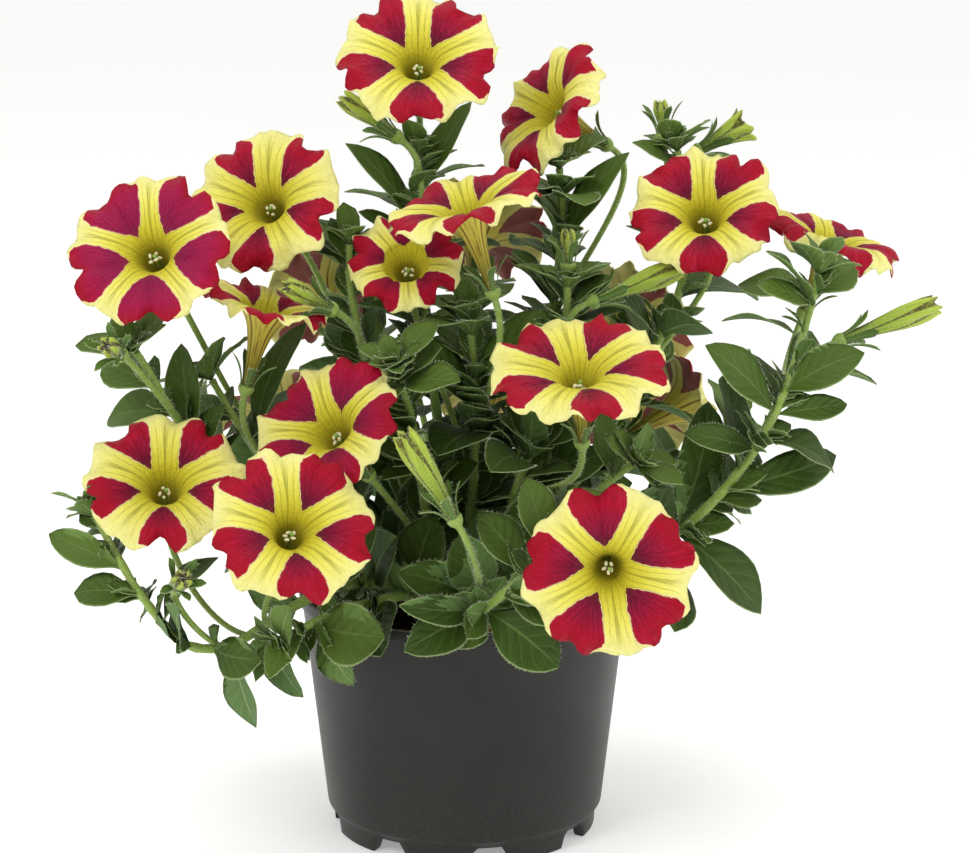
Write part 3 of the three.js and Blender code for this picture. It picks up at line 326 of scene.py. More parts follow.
class Growth:
    """A leafy stem: its walk, its stalks and its leaves, as its solid has them."""

    def __init__(self, stem):
        self.stem = stem
        x, y = stem.hole
        feet = [(x, y, STEM_FOOT), (x, y, SOIL_TOP - 7), (x, y, SOIL_TOP + 4)]
        points = [Vector(p) for p in (*feet, *stem.way)]
        self.walk = Walk(lambda share: through(points, share))
        self.stalks = []
        self.leaves = []

    def grow_stalk(self, start, seat, facing):
        """A stalk that leaves the stem and ends under a seat, in line with what stands on it."""
        point, heading = self.walk.at(start)
        end = seat - facing * CUP_HEIGHT
        reach = (end - point).length * STALK_REACH
        leave = ((end - point).normalized() + heading).normalized()
        a, b = point + leave * reach, end - facing * reach

        def at(s):
            r = 1 - s
            return point * r ** 3 + a * (3 * r * r * s) + b * (3 * r * s * s) + end * s ** 3
        walk = Walk(at)
        across = walk.frames(max(2, round_up(walk.length / STEP)), facing)[-1][1:]
        self.stalks.append((walk, seat, facing, across))

    def grow_leaves(self, corners):
        """Key leaves, then the tuft and the ruled leaves, as their tips are found in the solid's corners."""
        walk, stem = self.walk, self.stem
        tips = kdtree.KDTree(len(corners))
        for i, corner in enumerate(corners):
            tips.insert(corner, i)
        tips.balance()

        def stands(tip):
            return tips.find(tip)[2] < TIP_MATCH
        for along, tip, width in stem.leaves:
            point = walk.at(along)[0]
            face = (point - HEART).normalized() + FRONT * 0.8
            self.leaves.append(Leaf(point, Vector(tip), face, width, KEY_ARCH, along / walk.length))
        point, heading = walk.at(walk.length)
        _, first, second = walk.frames(round_up(walk.length / STEP), heading)[-1]
        for k in range(STEM_SIDES):
            turn = math.radians((k + 0.5) * 360 / STEM_SIDES)
            out = around(first, second, turn)
            lift = math.radians(TUFT_LIFTS[k])
            way = (out * math.cos(lift) + heading * math.sin(lift) + UP * TUFT_RISE).normalized()
            for scale in TUFT_SCALES:
                length = TUFT_LENGTHS[k] * scale
                tip = point + way * length
                if stands(tip):
                    face = heading - out * 0.5
                    self.leaves.append(Leaf(point, tip, face, length * TUFT_WIDTH, KEY_ARCH, 1.0))
                    break
        for along, turn, lift, length, wide, arch in self.slots():
            point, heading = walk.at(along)
            first, second = square_to(heading)
            for more_turn, more_lift, scale in TRIES:
                angle, rise = math.radians(turn + more_turn), math.radians(lift + more_lift)
                out = around(first, second, angle)
                way = out * math.cos(rise) + heading * math.sin(rise)
                size = length * scale
                tip = point + way * size
                if stands(tip):
                    face = (point - HEART).normalized() * LEAF_TURN_OUT + heading * LEAF_TURN_UP - out * 0.3
                    self.leaves.append(Leaf(point, tip, face, size * wide, arch, along / walk.length))
                    break

    def slots(self):
        """Places for ruled leaves: along the stem, turn, lift, length, width to length, and arch."""
        draw = drawer(self.stem.seed)
        turn = draw() * 360
        along = self.stem.leafy
        while along < self.walk.length - 6:
            turn += GOLDEN_ANGLE + (draw() - 0.5) * 30
            youth = along / self.walk.length
            lift = -20 + 40 * draw() + 22 * youth
            length = self.stem.size * (1 + 0.3 * draw()) * (1.15 - 0.45 * youth * youth)
            wide = 0.54 + 0.12 * draw()
            arch = 0.07 + 0.09 * draw()
            yield along, turn, lift, length, wide, arch
            along += lerp(*LEAF_STEPS, youth)


def grow():
    """The leafy stems with all that they carry, by name."""
    growths = {stem.name: Growth(stem) for stem in STEMS}
    for bloom in BLOOMS:
        facing = direction(*bloom.face)
        seat = Vector(bloom.at) - facing * (bloom.tube + SEAT_GAP)
        growths[bloom.stem].grow_stalk(bloom.start, seat, facing)
    for bud in BUDS:
        facing = (Vector(bud.tip) - Vector(bud.foot)).normalized()
        growths[bud.stem].grow_stalk(bud.start, Vector(bud.foot), facing)
    for name, growth in growths.items():
        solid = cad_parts[f"stem_{name}"].data
        growth.grow_leaves([v.co / MM for v in solid.vertices])
    return growths


GROWTHS = grow()


# Meshes

def new_mesh():
    """An empty bmesh in millimetres, with a UV layer and a tone for each vertex."""
    bm = bmesh.new()
    bm.loops.layers.uv.new("UVMap")
    bm.verts.layers.float.new("tone")
    return bm


def sheet(bm, columns, rows, place, slot=0, tone=0.0):
    """A grid of columns by rows laid on place(u, v), with u and v as its UV. Returns its faces."""
    uv = bm.loops.layers.uv["UVMap"]
    tones = bm.verts.layers.float["tone"]
    verts = bmesh.ops.create_grid(bm, x_segments=columns, y_segments=rows, size=0.5)["verts"]
    spots = {v: (v.co.x + 0.5, v.co.y + 0.5) for v in verts}
    faces = list(dict.fromkeys(f for v in verts for f in v.link_faces))
    for face in faces:
        face.smooth = True
        face.material_index = slot
        for loop in face.loops:
            loop[uv].uv = spots[loop.vert]
    for vert in verts:
        vert.co = place(*spots[vert])
        vert[tones] = tone
    return faces


def close_round(bm, faces):
    """Joins the side edges of a sheet that goes all the way round, and its ends where they meet."""
    verts = list(dict.fromkeys(v for f in faces for v in f.verts))
    bmesh.ops.remove_doubles(bm, verts=verts, dist=1e-4)


def thicken(bm, faces, thickness, slot):
    """Gives a sheet a wall on the side away from its normals. The far side takes its own material slot."""
    made = bmesh.ops.solidify(bm, geom=faces, thickness=thickness)["geom"]
    for item in made:
        if isinstance(item, bmesh.types.BMFace):
            item.material_index = slot


def tube(bm, stations, columns, slot=0, tone=0.0):
    """A closed tube through stations, drawn to a point at each end."""
    stations = [stations[0]._replace(radius=0), *stations, stations[-1]._replace(radius=0)]
    rows = len(stations) - 1

    def place(u, v):
        station = stations[round_up(v * rows)]
        out = around(station.first, station.second, u * math.tau)
        return station.point + out * station.radius
    close_round(bm, sheet(bm, columns, rows, place, slot, tone))


def finish(bm, name, node, materials):
    """Makes a piece of a bmesh in millimetres."""
    bmesh.ops.scale(bm, vec=(MM, MM, MM), verts=bm.verts)
    mesh = bpy.data.meshes.new(name)
    bm.to_mesh(mesh)
    bm.free()
    return settle(mesh, name, node, materials)


def settle(mesh, name, node, materials):
    """Puts a finished mesh on the body as a piece, in place of a CAD node."""
    for material in materials:
        mesh.materials.append(material)
    piece = bpy.data.objects.new(name, mesh)
    bpy.context.scene.collection.objects.link(piece)
    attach(piece, "root")
    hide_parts(node)
    return piece


def bristles(name, node, material, roots, radius):
    """Fine three-sided spikes: roots holds a foot, a way and a length for each."""
    spike = bmesh.new()
    bmesh.ops.create_cone(spike, cap_ends=True, segments=3, radius1=1, radius2=0, depth=1,
                          matrix=Matrix.Translation((0, 0, 0.5)))
    corners = np.array([v.co for v in spike.verts])
    sides = [[v.index for v in f.verts] for f in spike.faces]
    spike.free()
    feet = np.array([r[0] for r in roots])
    ways = np.array([r[1] for r in roots])
    ways /= np.linalg.norm(ways, axis=1)[:, None]
    lengths = np.array([r[2] for r in roots])
    hint = np.where(np.abs(ways[:, :1]) < 0.8, [[1.0, 0, 0]], [[0, 1.0, 0]])
    first = np.cross(hint, ways)
    first /= np.linalg.norm(first, axis=1)[:, None]
    second = np.cross(ways, first)
    points = (feet[:, None] + first[:, None] * corners[None, :, :1] * radius
              + second[:, None] * corners[None, :, 1:2] * radius
              + ways[:, None] * corners[None, :, 2:] * lengths[:, None, None])
    mesh = bpy.data.meshes.new(name)
    count = len(corners)
    faces = [[i * count + k for k in side] for i in range(len(roots)) for side in sides]
    mesh.from_pydata((points.reshape(-1, 3) * MM).tolist(), [], faces)
    return settle(mesh, name, node, [material])


# Materials

def colour(code):
    """A linear colour from its usual six hex digits."""
    parts = [int(code[i:i + 2], 16) / 255 for i in (0, 2, 4)]
    return tuple(p / 12.92 if p <= 0.04045 else ((p + 0.055) / 1.055) ** 2.4 for p in parts)


def rgba(tint):
    """The four parts of a colour that is given as six hex digits or as three linear parts."""
    return (*(colour(tint) if isinstance(tint, str) else tint), 1.0)


class Graph:
    """Adds nodes to a tree. An input may be a number, a colour or another node's output."""

    def __init__(self, tree):
        self.tree = tree

    def node(self, kind, inputs=None, **settings):
        node = self.tree.nodes.new(kind)
        for name, value in settings.items():
            setattr(node, name, value)
        for key, value in (inputs or {}).items():
            self.feed(node.inputs[key], value)
        return node

    def feed(self, socket, value):
        """Links an output to a socket, or sets the socket's own value. Six hex digits make a colour."""
        if isinstance(value, bpy.types.NodeSocket):
            self.tree.links.new(value, socket)
        else:
            socket.default_value = rgba(value) if isinstance(value, (str, Color)) else value

    def math(self, operation, a, b=0.0, c=0.0, clamp=False):
        made = self.node("ShaderNodeMath", {0: a, 1: b, 2: c}, operation=operation, use_clamp=clamp)
        return made.outputs[0]

    def times(self, a, b):
        return self.math("MULTIPLY", a, b)

    def less(self, a, b):
        return self.math("SUBTRACT", a, b)

    def absolute(self, value):
        return self.math("ABSOLUTE", value)

    def scaled(self, value, by, plus):
        return self.math("MULTIPLY_ADD", value, by, plus)

    def step(self, value, low, high):
        """0 below low and 1 above high, or the other way round where low is the greater."""
        return self.node("ShaderNodeMapRange", {"Value": value, "From Min": low, "From Max": high},
                         interpolation_type="SMOOTHSTEP").outputs["Result"]

    def mix(self, factor, a, b):
        node = self.node("ShaderNodeMix", data_type="RGBA")
        for key, value in ((0, factor), (6, a), (7, b)):
            self.feed(node.inputs[key], value)
        return node.outputs[2]

    def tinge(self, ground, tint, mask, share):
        """A ground that takes a share of a tint where a mask is 1."""
        return self.mix(self.times(mask, share), ground, tint)

    def ramp(self, value, stops, interpolation="LINEAR"):
        """Stops are pairs of place and colour, or place and number."""
        node = self.node("ShaderNodeValToRGB", {"Fac": value})
        band = node.color_ramp
        band.interpolation = interpolation
        while len(band.elements) < len(stops):
            band.elements.new(0.5)
        for element, (place, tint) in zip(band.elements, stops):
            element.position = place
            element.color = rgba((tint, tint, tint) if isinstance(tint, float) else tint)
        return node.outputs["Color"]

    def noise(self, vector, scale, detail=3.0, roughness=0.5):
        return self.node("ShaderNodeTexNoise", {
            "Vector": vector, "Scale": scale, "Detail": detail, "Roughness": roughness}).outputs["Fac"]

    def place(self):
        return self.node("ShaderNodeTexCoord").outputs["Object"]

    def uv(self):
        split = self.node("ShaderNodeSeparateXYZ", {
            "Vector": self.node("ShaderNodeUVMap", uv_map="UVMap").outputs["UV"]})
        return split.outputs["X"], split.outputs["Y"]

    def vector(self, x, y):
        return self.node("ShaderNodeCombineXYZ", {"X": x, "Y": y}).outputs["Vector"]

    def tone(self):
        made = self.node("ShaderNodeAttribute", attribute_name="tone", attribute_type="GEOMETRY")
        return made.outputs["Fac"]

    def bump(self, height, strength, distance):
        return self.node("ShaderNodeBump", {
            "Height": height, "Strength": strength, "Distance": distance}).outputs["Normal"]

    def group(self, tree, inputs=None):
        return self.node("ShaderNodeGroup", inputs, node_tree=tree).outputs


def new_group(name, inputs, outputs):
    """A node group with named number inputs and number outputs."""
    tree = bpy.data.node_groups.new(name, "ShaderNodeTree")
    for label, default in inputs.items():
        socket = tree.interface.new_socket(label, in_out="INPUT", socket_type="NodeSocketFloat")
        socket.default_value = default
    for label in outputs:
        tree.interface.new_socket(label, in_out="OUTPUT", socket_type="NodeSocketFloat")
    graph = Graph(tree)
    return tree, graph, graph.node("NodeGroupInput").outputs, graph.node("NodeGroupOutput").inputs


def new_material(name, **constants):
    """A material with its graph and its Principled BSDF's sockets. Constants are set on those sockets."""
    material = bpy.data.materials.new(name)
    material.use_nodes = True
    graph = Graph(material.node_tree)
    shader = material.node_tree.nodes["Principled BSDF"].inputs
    for label, value in constants.items():
        graph.feed(shader[label.replace("_", " ").title().replace("Ior", "IOR")], value)
    return material, graph, shader


def uneven_group():
    """Broad and fine unevenness of a colour over a surface."""
    tree, graph, source, sink = new_group("Uneven colour", {"Broad": 60.0, "Fine": 600.0}, ["Mask", "Grain"])
    place = graph.place()
    graph.feed(sink["Mask"], graph.step(graph.noise(place, source["Broad"], 4.0, 0.6), 0.3, 0.7))
    graph.feed(sink["Grain"], graph.noise(place, source["Fine"], 2.0, 0.6))
    return tree


def vein_group():
    """Midrib, arching side veins, fine net and edge of a leaf, from its UV."""
    tree, graph, source, sink = new_group(
        "Leaf veins", {"Pairs": 6.5, "Arch": 1.9}, ["Midrib", "Veins", "Edge", "Height"])
    u, v = graph.uv()
    side = graph.less(graph.times(u, 2.0), 1.0)
    out = graph.absolute(side)
    reach = graph.scaled(graph.less(1.0, v), 0.09, 0.035)
    midrib = graph.step(out, reach, graph.times(reach, 0.35))
    half = graph.times(graph.math("GREATER_THAN", side, 0.0), 0.5)
    run = graph.less(graph.scaled(v, source["Pairs"], half), graph.times(out, source["Arch"]))
    swing = graph.absolute(graph.less(graph.math("FRACT", run), 0.5))
    veins = graph.times(graph.step(swing, 0.12, 0.03), graph.step(out, 1.0, 0.75))
    net = graph.node("ShaderNodeTexVoronoi", {"Vector": graph.vector(graph.times(u, 0.7), v), "Scale": 26.0},
                     feature="DISTANCE_TO_EDGE")
    ridge = graph.step(net.outputs["Distance"], 0.09, 0.02)
    quilt = graph.step(swing, 0.0, 0.5)
    height = graph.scaled(quilt, 0.6, graph.times(midrib, -0.6))
    graph.feed(sink["Midrib"], midrib)
    graph.feed(sink["Veins"], graph.math("MULTIPLY_ADD", ridge, 0.25, veins, clamp=True))
    graph.feed(sink["Edge"], graph.step(out, 0.93, 1.0))
    graph.feed(sink["Height"], graph.less(height, graph.times(ridge, 0.18)))
    return tree


def petal_group():
    """Crimson hearts, their pale border, yellow rays, veins and streaks of a bloom, from its UV."""
    tree, graph, source, sink = new_group(
        "Petal pattern", {"Tone": 0.0}, ["Heart", "Border", "Vein", "Streak", "Ray", "Along"])
    u, v = graph.uv()
    wheel = graph.math("FRACT", graph.scaled(u, 5.0, 0.5))
    ray = graph.times(graph.absolute(graph.less(wheel, 0.5)), 2.0)
    width = graph.ramp(v, [(0.0, 1.0), (0.50, 1.0), (0.54, 0.80), (0.59, 0.62), (0.66, 0.49), (0.75, 0.42),
                           (0.85, 0.38), (0.93, 0.42), (1.0, 0.64)], "EASE")
    wobble = graph.less(graph.noise(graph.place(), 260.0, 4.0, 0.6), 0.5)
    width = graph.math("ADD", width, graph.times(wobble, 0.16))
    shift = graph.times(graph.less(source["Tone"], 0.5), graph.step(v, 0.48, 0.6))
    width = graph.scaled(shift, 0.34, width)
    past = graph.less(ray, width)
    edge = graph.absolute(graph.math("ADD", past, 0.02))
    fan = graph.vector(graph.times(u, 90.0), graph.times(v, 5.0))
    middle = graph.step(ray, 0.05, 0.012)
    share = graph.math("DIVIDE", ray, width)
    run = graph.math("FRACT", graph.math("ADD", graph.times(share, 2.4), graph.times(v, -1.1)))
    sides = graph.times(graph.step(graph.absolute(graph.less(run, 0.5)), 0.07, 0.0), 0.45)
    vein = graph.math("MAXIMUM", middle, sides)
    graph.feed(sink["Heart"], graph.step(past, -0.012, 0.012))
    graph.feed(sink["Border"], graph.step(edge, 0.045, 0.0))
    graph.feed(sink["Streak"], graph.noise(fan, 1.0, 4.0, 0.65))
    graph.feed(sink["Vein"], graph.times(vein, graph.step(v, 1.0, 0.7)))
    graph.feed(sink["Ray"], ray)
    graph.feed(sink["Along"], v)
    return tree


GROUPS = {"uneven": uneven_group(), "veins": vein_group(), "petal": petal_group()}
MADE = {}


def petal_face(settings):
    """Velvety face of a bloom: yellow rays and crimson hearts with painted highlights and painted shade along
    their streaks, and a green throat, with painted shade deep down and a painted glow in place of the light
    that it lets through.
    """
    material, graph, shader = new_material(
        "petal", roughness=0.55, sheen_weight=0.02, sheen_roughness=0.4, specular_ior_level=0.14,
        emission_strength=0.1)
    pattern = graph.group(GROUPS["petal"], {"Tone": graph.tone()})
    uneven = graph.group(GROUPS["uneven"], {"Broad": 90.0, "Fine": 900.0})
    along, streak = pattern["Along"], pattern["Streak"]
    # Yellow that turns green in the throat and darker still deep in the tube: the throat's own green, with
    # painted shade deep down
    yellow = graph.ramp(along, [(0.0, "3C4214"), (0.22, "5E5E1A"), (0.34, "968C22"), (0.46, "C6BA2C"),
                                (0.58, "DBD140"), (0.74, settings.yellow), (1.0, "EDE99A")])
    heart = graph.ramp(along, [(0.50, "4A0A26"), (0.60, "6E082C"), (0.72, "90062C"), (0.84, settings.crimson),
                               (1.0, "9A051E")])
    magenta = graph.times(graph.step(graph.tone(), 0.45, 0.1), graph.step(along, 1.0, 0.8))
    # Painted highlight: lighter rose crimson along the high streaks of the relief
    painted_sheen = graph.times(graph.step(streak, 0.48, 0.66), uneven["Mask"])
    heart = graph.tinge(heart, "981650", magenta, 0.6)
    heart = graph.tinge(heart, "BC1448", painted_sheen, 0.5)
    # Painted shade: darker crimson along the low streaks of the relief
    heart = graph.tinge(heart, "6C0722", graph.step(streak, 0.45, 0.25), 0.5)
    tint = graph.tinge(yellow, "9A9A28", pattern["Vein"], 0.5)
    # Painted shade: darker yellow along the low streaks of the relief
    tint = graph.tinge(tint, "BDB432", graph.step(streak, 0.52, 0.3), 0.2)
    tint = graph.mix(pattern["Heart"], tint, heart)
    border = graph.times(pattern["Border"], graph.step(along, 0.48, 0.6))
    tint = graph.tinge(tint, "F2D9B0", border, 0.55)
    relief = graph.scaled(streak, 1.0, graph.times(uneven["Grain"], 0.5))
    relief = graph.scaled(uneven["Mask"], 0.8, relief)
    relief = graph.less(relief, graph.times(pattern["Vein"], 0.7))
    graph.feed(shader["Base Color"], tint)
    # Painted glow: an olive emission in the throat, in place of the light that shines through the petal
    graph.feed(shader["Emission Color"], graph.mix(graph.step(along, 0.62, 0.4), "000000", "B8A51F"))
    graph.feed(shader["Normal"], graph.bump(relief, 0.9, 0.0009))
    graph.feed(shader["Roughness"], graph.scaled(uneven["Grain"], 0.2, 0.4))
    return material


def petal_back(settings):
    """Outside of a bloom: pale yellow, dusky behind the hearts, with brown stripes down its tube."""
    material, graph, shader = new_material(
        "petal_back", roughness=0.6, sheen_weight=0.08, sheen_roughness=0.5, specular_ior_level=0.2)
    pattern = graph.group(GROUPS["petal"], {"Tone": graph.tone()})
    along, streak, ray = pattern["Along"], pattern["Streak"], pattern["Ray"]
    ground = graph.ramp(along, [(0.0, "7E8A2C"), (0.25, "B0A838"), (0.45, "CFC350"), (0.7, "DDD276"),
                                (1.0, "E6DF92")])
    dusk = graph.ramp(along, [(0.0, "5E4A24"), (0.3, "6B3033"), (0.6, "862F4C"), (1.0, "98304F")])
    tint = graph.tinge(ground, dusk, pattern["Heart"], 0.9)
    low = graph.step(along, 0.75, 0.3)
    stripe = graph.times(graph.times(graph.step(streak, 0.47, 0.6), low), graph.step(ray, 0.3, 0.6))
    band = graph.scaled(low, 0.16, 0.03)
    keel = graph.times(graph.step(ray, band, graph.times(band, 0.4)), graph.step(along, 0.85, 0.5))
    tint = graph.tinge(tint, "6A2418", graph.math("MAXIMUM", stripe, keel), 0.85)
    tint = graph.tinge(tint, "8E7F3C", pattern["Vein"], 0.55)
    graph.feed(shader["Base Color"], tint)
    graph.feed(shader["Normal"], graph.bump(graph.math("ADD", streak, pattern["Vein"]), 0.4, 0.0005))
    return material


def leaf_side(settings, name, dark, light, rib, rib_share, roughness):
    """One side of a leaf: uneven green, lighter where it is young, with pale ribs and a pale downy edge."""
    material, graph, shader = new_material(
        name, roughness=roughness, sheen_weight=0.02, sheen_roughness=0.4, specular_ior_level=0.22)
    veins = graph.group(GROUPS["veins"])
    uneven = graph.group(GROUPS["uneven"], {"Broad": 55.0, "Fine": 1300.0})
    tint = graph.tinge(dark, light, uneven["Mask"], 0.45)
    tint = graph.tinge(tint, settings.young, graph.tone(), 0.65)
    tint = graph.tinge(tint, rib, veins["Veins"], 0.16)
    tint = graph.tinge(tint, rib, veins["Midrib"], rib_share)
    tint = graph.tinge(tint, "97AC6E", veins["Edge"], 0.65)
    tint = graph.tinge(tint, "8AA35C", graph.step(uneven["Grain"], 0.55, 0.75), 0.12)
    height = graph.scaled(uneven["Grain"], 0.25, veins["Height"])
    graph.feed(shader["Base Color"], tint)
    graph.feed(shader["Normal"], graph.bump(height, 0.5, 0.0006))
    graph.feed(shader["Roughness"], graph.scaled(uneven["Grain"], 0.25, roughness - 0.12))
    return material


def stem_skin(settings):
    """Light green skin of stems and stalks, darker at the foot and specked with down."""
    material, graph, shader = new_material(
        "stem_skin", roughness=0.5, sheen_weight=0.12, sheen_roughness=0.5, specular_ior_level=0.3)
    uneven = graph.group(GROUPS["uneven"], {"Broad": 70.0, "Fine": 1800.0})
    tint = graph.tinge(settings.stem, "93AC4C", uneven["Mask"], 0.6)
    tint = graph.mix(graph.step(graph.uv()[1], 0.22, 0.0), tint, "6F8343")
    tint = graph.tinge(tint, "D2DDB6", graph.step(uneven["Grain"], 0.5, 0.7), 0.35)
    graph.feed(shader["Base Color"], tint)
    graph.feed(shader["Normal"], graph.bump(uneven["Grain"], 0.35, 0.0003))
    return material


def hair(settings):
    """Pale shiny hairs."""
    material, graph, shader = new_material("hair", roughness=0.45, sheen_weight=0.3, sheen_roughness=0.3)
    uneven = graph.group(GROUPS["uneven"], {"Broad": 90.0, "Fine": 900.0})
    graph.feed(shader["Base Color"], graph.mix(uneven["Mask"], "DDE6C8", settings.hair))
    return material


def bud_skin(settings):
    """Yellow-green furled petals with ragged dark stripes, which widen towards a dark mouth."""
    material, graph, shader = new_material(
        "bud_skin", roughness=0.5, sheen_weight=0.1, sheen_roughness=0.5, specular_ior_level=0.3)
    u, v = graph.uv()
    wheel = graph.math("FRACT", graph.scaled(u, 5.0, graph.times(v, 1.4)))
    line = graph.absolute(graph.less(wheel, 0.5))
    reach = graph.scaled(graph.step(v, 0.5, 0.84), 0.22, 0.1)
    stripe = graph.step(line, reach, graph.times(reach, 0.55))
    ragged = graph.step(graph.noise(graph.place(), 700.0, 3.0, 0.6), 0.35, 0.55)
    stripe = graph.times(stripe, graph.scaled(ragged, 0.5, 0.5))
    fine = graph.noise(graph.vector(graph.times(u, 60.0), graph.times(v, 4.0)), 1.0, 3.0, 0.6)
    tint = graph.ramp(v, [(0.0, "7C9632"), (0.4, settings.bud), (0.86, "B4C648"), (0.9, "C4D068"),
                          (0.93, "4A2C1C"), (1.0, "1C120E")])
    tint = graph.tinge(tint, "6A8228", graph.step(fine, 0.45, 0.65), 0.5)
    tint = graph.tinge(tint, "3E1C14", stripe, 0.85)
    graph.feed(shader["Base Color"], tint)
    graph.feed(shader["Normal"], graph.bump(fine, 0.6, 0.0006))
    return material


def anther_skin(settings):
    """Cream pollen."""
    material, graph, shader = new_material("anther", roughness=0.75)
    grain = graph.noise(graph.place(), 2600.0, 2.0, 0.7)
    graph.feed(shader["Base Color"], graph.mix(grain, "D8CFA0", settings.anther))
    graph.feed(shader["Normal"], graph.bump(grain, 0.6, 0.0003))
    return material


def stigma_skin(settings):
    """Moist light green."""
    material, graph, shader = new_material("stigma", roughness=0.3)
    graph.feed(shader["Base Color"], graph.mix(graph.noise(graph.place(), 1800.0), "5E8A2C", "9CC15A"))
    return material


def pot_plastic(settings):
    """Dark satin plastic with faint mould rings, dusty near the ground, with a painted highlight along the
    lip.
    """
    material, graph, shader = new_material("pot_plastic", specular_ior_level=0.38)
    place = graph.place()
    grain = graph.noise(place, 2200.0, 2.0, 0.6)
    broad = graph.noise(place, 22.0, 3.0, 0.6)
    height = graph.node("ShaderNodeSeparateXYZ", {"Vector": place}).outputs["Z"]
    dusty = graph.times(graph.step(grain, 0.5, 0.8), graph.step(height, DUST_TOP, 0.0))
    # Painted highlight: a lighter band along the top of the lip, broken up by broad noise
    painted_lip_highlight = graph.times(graph.step(height, *LIP_HIGHLIGHT), graph.step(broad, 0.3, 0.6))
    tint = graph.mix(graph.step(broad, 0.35, 0.7), settings.colour, "141210")
    tint = graph.tinge(tint, "6A6258", dusty, 0.35)
    tint = graph.tinge(tint, "8E887E", painted_lip_highlight, 0.6)
    rings = graph.math("SINE", graph.times(height, math.tau / RING_PITCH))
    relief = graph.scaled(grain, 0.35, graph.times(rings, 0.05))
    graph.feed(shader["Base Color"], tint)
    graph.feed(shader["Roughness"], graph.scaled(broad, 0.2, 0.34))
    graph.feed(shader["Normal"], graph.bump(relief, 0.25, 0.0003))
    return material


def soil_crumb(settings):
    """Dark peat with lighter fibres."""
    material, graph, shader = new_material("soil_crumb", roughness=0.95, specular_ior_level=0.2)
    place = graph.place()
    broad = graph.noise(place, 350.0, 5.0, 0.7)
    fine = graph.noise(place, 1500.0, 4.0, 0.7)
    tint = graph.ramp(broad, [(0.3, "140D08"), (0.5, settings.colour), (0.72, "4E3521")])
    tint = graph.mix(graph.step(fine, 0.62, 0.75), tint, "6B4C31")
    graph.feed(shader["Base Color"], tint)
    graph.feed(shader["Normal"], graph.bump(graph.math("ADD", broad, fine), 1.0, 0.0015))
    return material


def label_plastic(settings):
    """Smooth plain plastic."""
    material, graph, shader = new_material(
        "label_plastic", roughness=0.35, coat_weight=0.15, coat_roughness=0.2)
    place = graph.place()
    broad = graph.noise(place, 120.0, 3.0, 0.5)
    graph.feed(shader["Base Color"], graph.mix(broad, settings.colour, "E8A81E"))
    graph.feed(shader["Normal"], graph.bump(graph.noise(place, 1800.0), 0.15, 0.0002))
    return material


def floor_paper(settings):
    """White paper, lit a little from within so that it stays white far away."""
    material, graph, shader = new_material(
        "floor_paper", roughness=0.9, specular_ior_level=0.1, emission_color="FFFFFF", emission_strength=0.3)
    graph.feed(shader["Base Color"], graph.mix(graph.noise(graph.place(), 3.0), settings.floor, "F4F4F2"))
    return material


def material_of(maker, settings, *extra):
    """The material that a maker gives, made once."""
    name = extra[0] if extra else maker.__name__
    if name not in MADE:
        MADE[name] = maker(settings, *extra)
    return MADE[name]


# Settings that a user would change

def tint_property(name, description, code):
    """A colour that a user can change, from six hex digits."""
    return FloatVectorProperty(name=name, description=description, subtype="COLOR", size=3, min=0.0, max=1.0,
                               default=colour(code))


def length_property(name, description, default):
    """A length in metres that a user can change."""
    return FloatProperty(name=name, description=description, unit="LENGTH", subtype="DISTANCE",
                         default=default)


def half_width(node):
    """Half the width of a node of the frame, in metres."""
    low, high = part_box(node)
    return (high[0] - low[0]) / 2


class PotSettings(bpy.types.PropertyGroup):
    rim: length_property("Rim radius", "Outer radius of the lip", half_width("pot"))
    height: length_property("Height", "Height of the pot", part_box("pot")[1][2])
    colour: tint_property("Colour", "Colour of the plastic", "1A1815")


class SoilSettings(bpy.types.PropertyGroup):
    crumbs: IntProperty(name="Crumbs", description="Number of loose crumbs on the soil", default=900, min=0)
    colour: tint_property("Colour", "Main colour of the soil", "2B1C12")


class LabelSettings(bpy.types.PropertyGroup):
    width: length_property("Width", "Width of the stake", 0.011)
    thickness: length_property("Thickness", "Thickness of the stake", 0.0009)
    colour: tint_property("Colour", "Colour of the stake", "DC930C")


class FoliageSettings(bpy.types.PropertyGroup):
    dark: tint_property("Leaf", "Colour of a grown leaf", "243A07")
    light: tint_property("Lit leaf", "Lighter parts of a grown leaf", "3F5B0A")
    young: tint_property("Young leaf", "Colour of the youngest leaves", "6A8632")
    stem: tint_property("Stem", "Colour of stems and stalks", "7D9A3A")
    hair: tint_property("Hair", "Colour of the fine hairs", "F2F5E6")
    hair_length: length_property("Hair length", "Length of the longest hairs", 0.0015)


class PetalSettings(bpy.types.PropertyGroup):
    yellow: tint_property("Yellow", "Colour of the rays", "EBE366")
    crimson: tint_property("Crimson", "Colour of the hearts", "A60124")
    anther: tint_property("Anther", "Colour of the anthers", "F3EED2")
    bud: tint_property("Bud", "Colour of the buds", "98AE34")


class StageSettings(bpy.types.PropertyGroup):
    floor: tint_property("Floor", "Colour of the floor", "F8F8F6")
    light: FloatProperty(name="Light", description="Strength of all the lights", default=1.0, min=0.0)


# Leaves, shoots and hairs

# Half widths along a blade: of a leaf as shares of its own half width, of a sepal in millimetres
LEAF_OUTLINE = ((0, 0.05), (0.07, 0.06), (0.16, 0.30), (0.3, 0.72), (0.44, 0.97), (0.56, 1.04), (0.7, 0.97),
                (0.82, 0.77), (0.91, 0.5), (0.97, 0.25), (1.0, 0.02))
SEPAL_OUTLINE = ((0, 0.8), (0.3, 0.8), (0.6, 1.15), (0.82, 1.45), (0.94, 0.95), (1.0, 0.08))
# Columns and rows of a leaf, after the length past which they are used
LEAF_GRIDS = ((26, 8, 13), (17, 5, 7), (0, 4, 5))
LONG_LEAF = 18
LEAF_WALL = 0.35
SEPAL_WALL = 0.4
FACE, BACK, SEPAL = range(3)
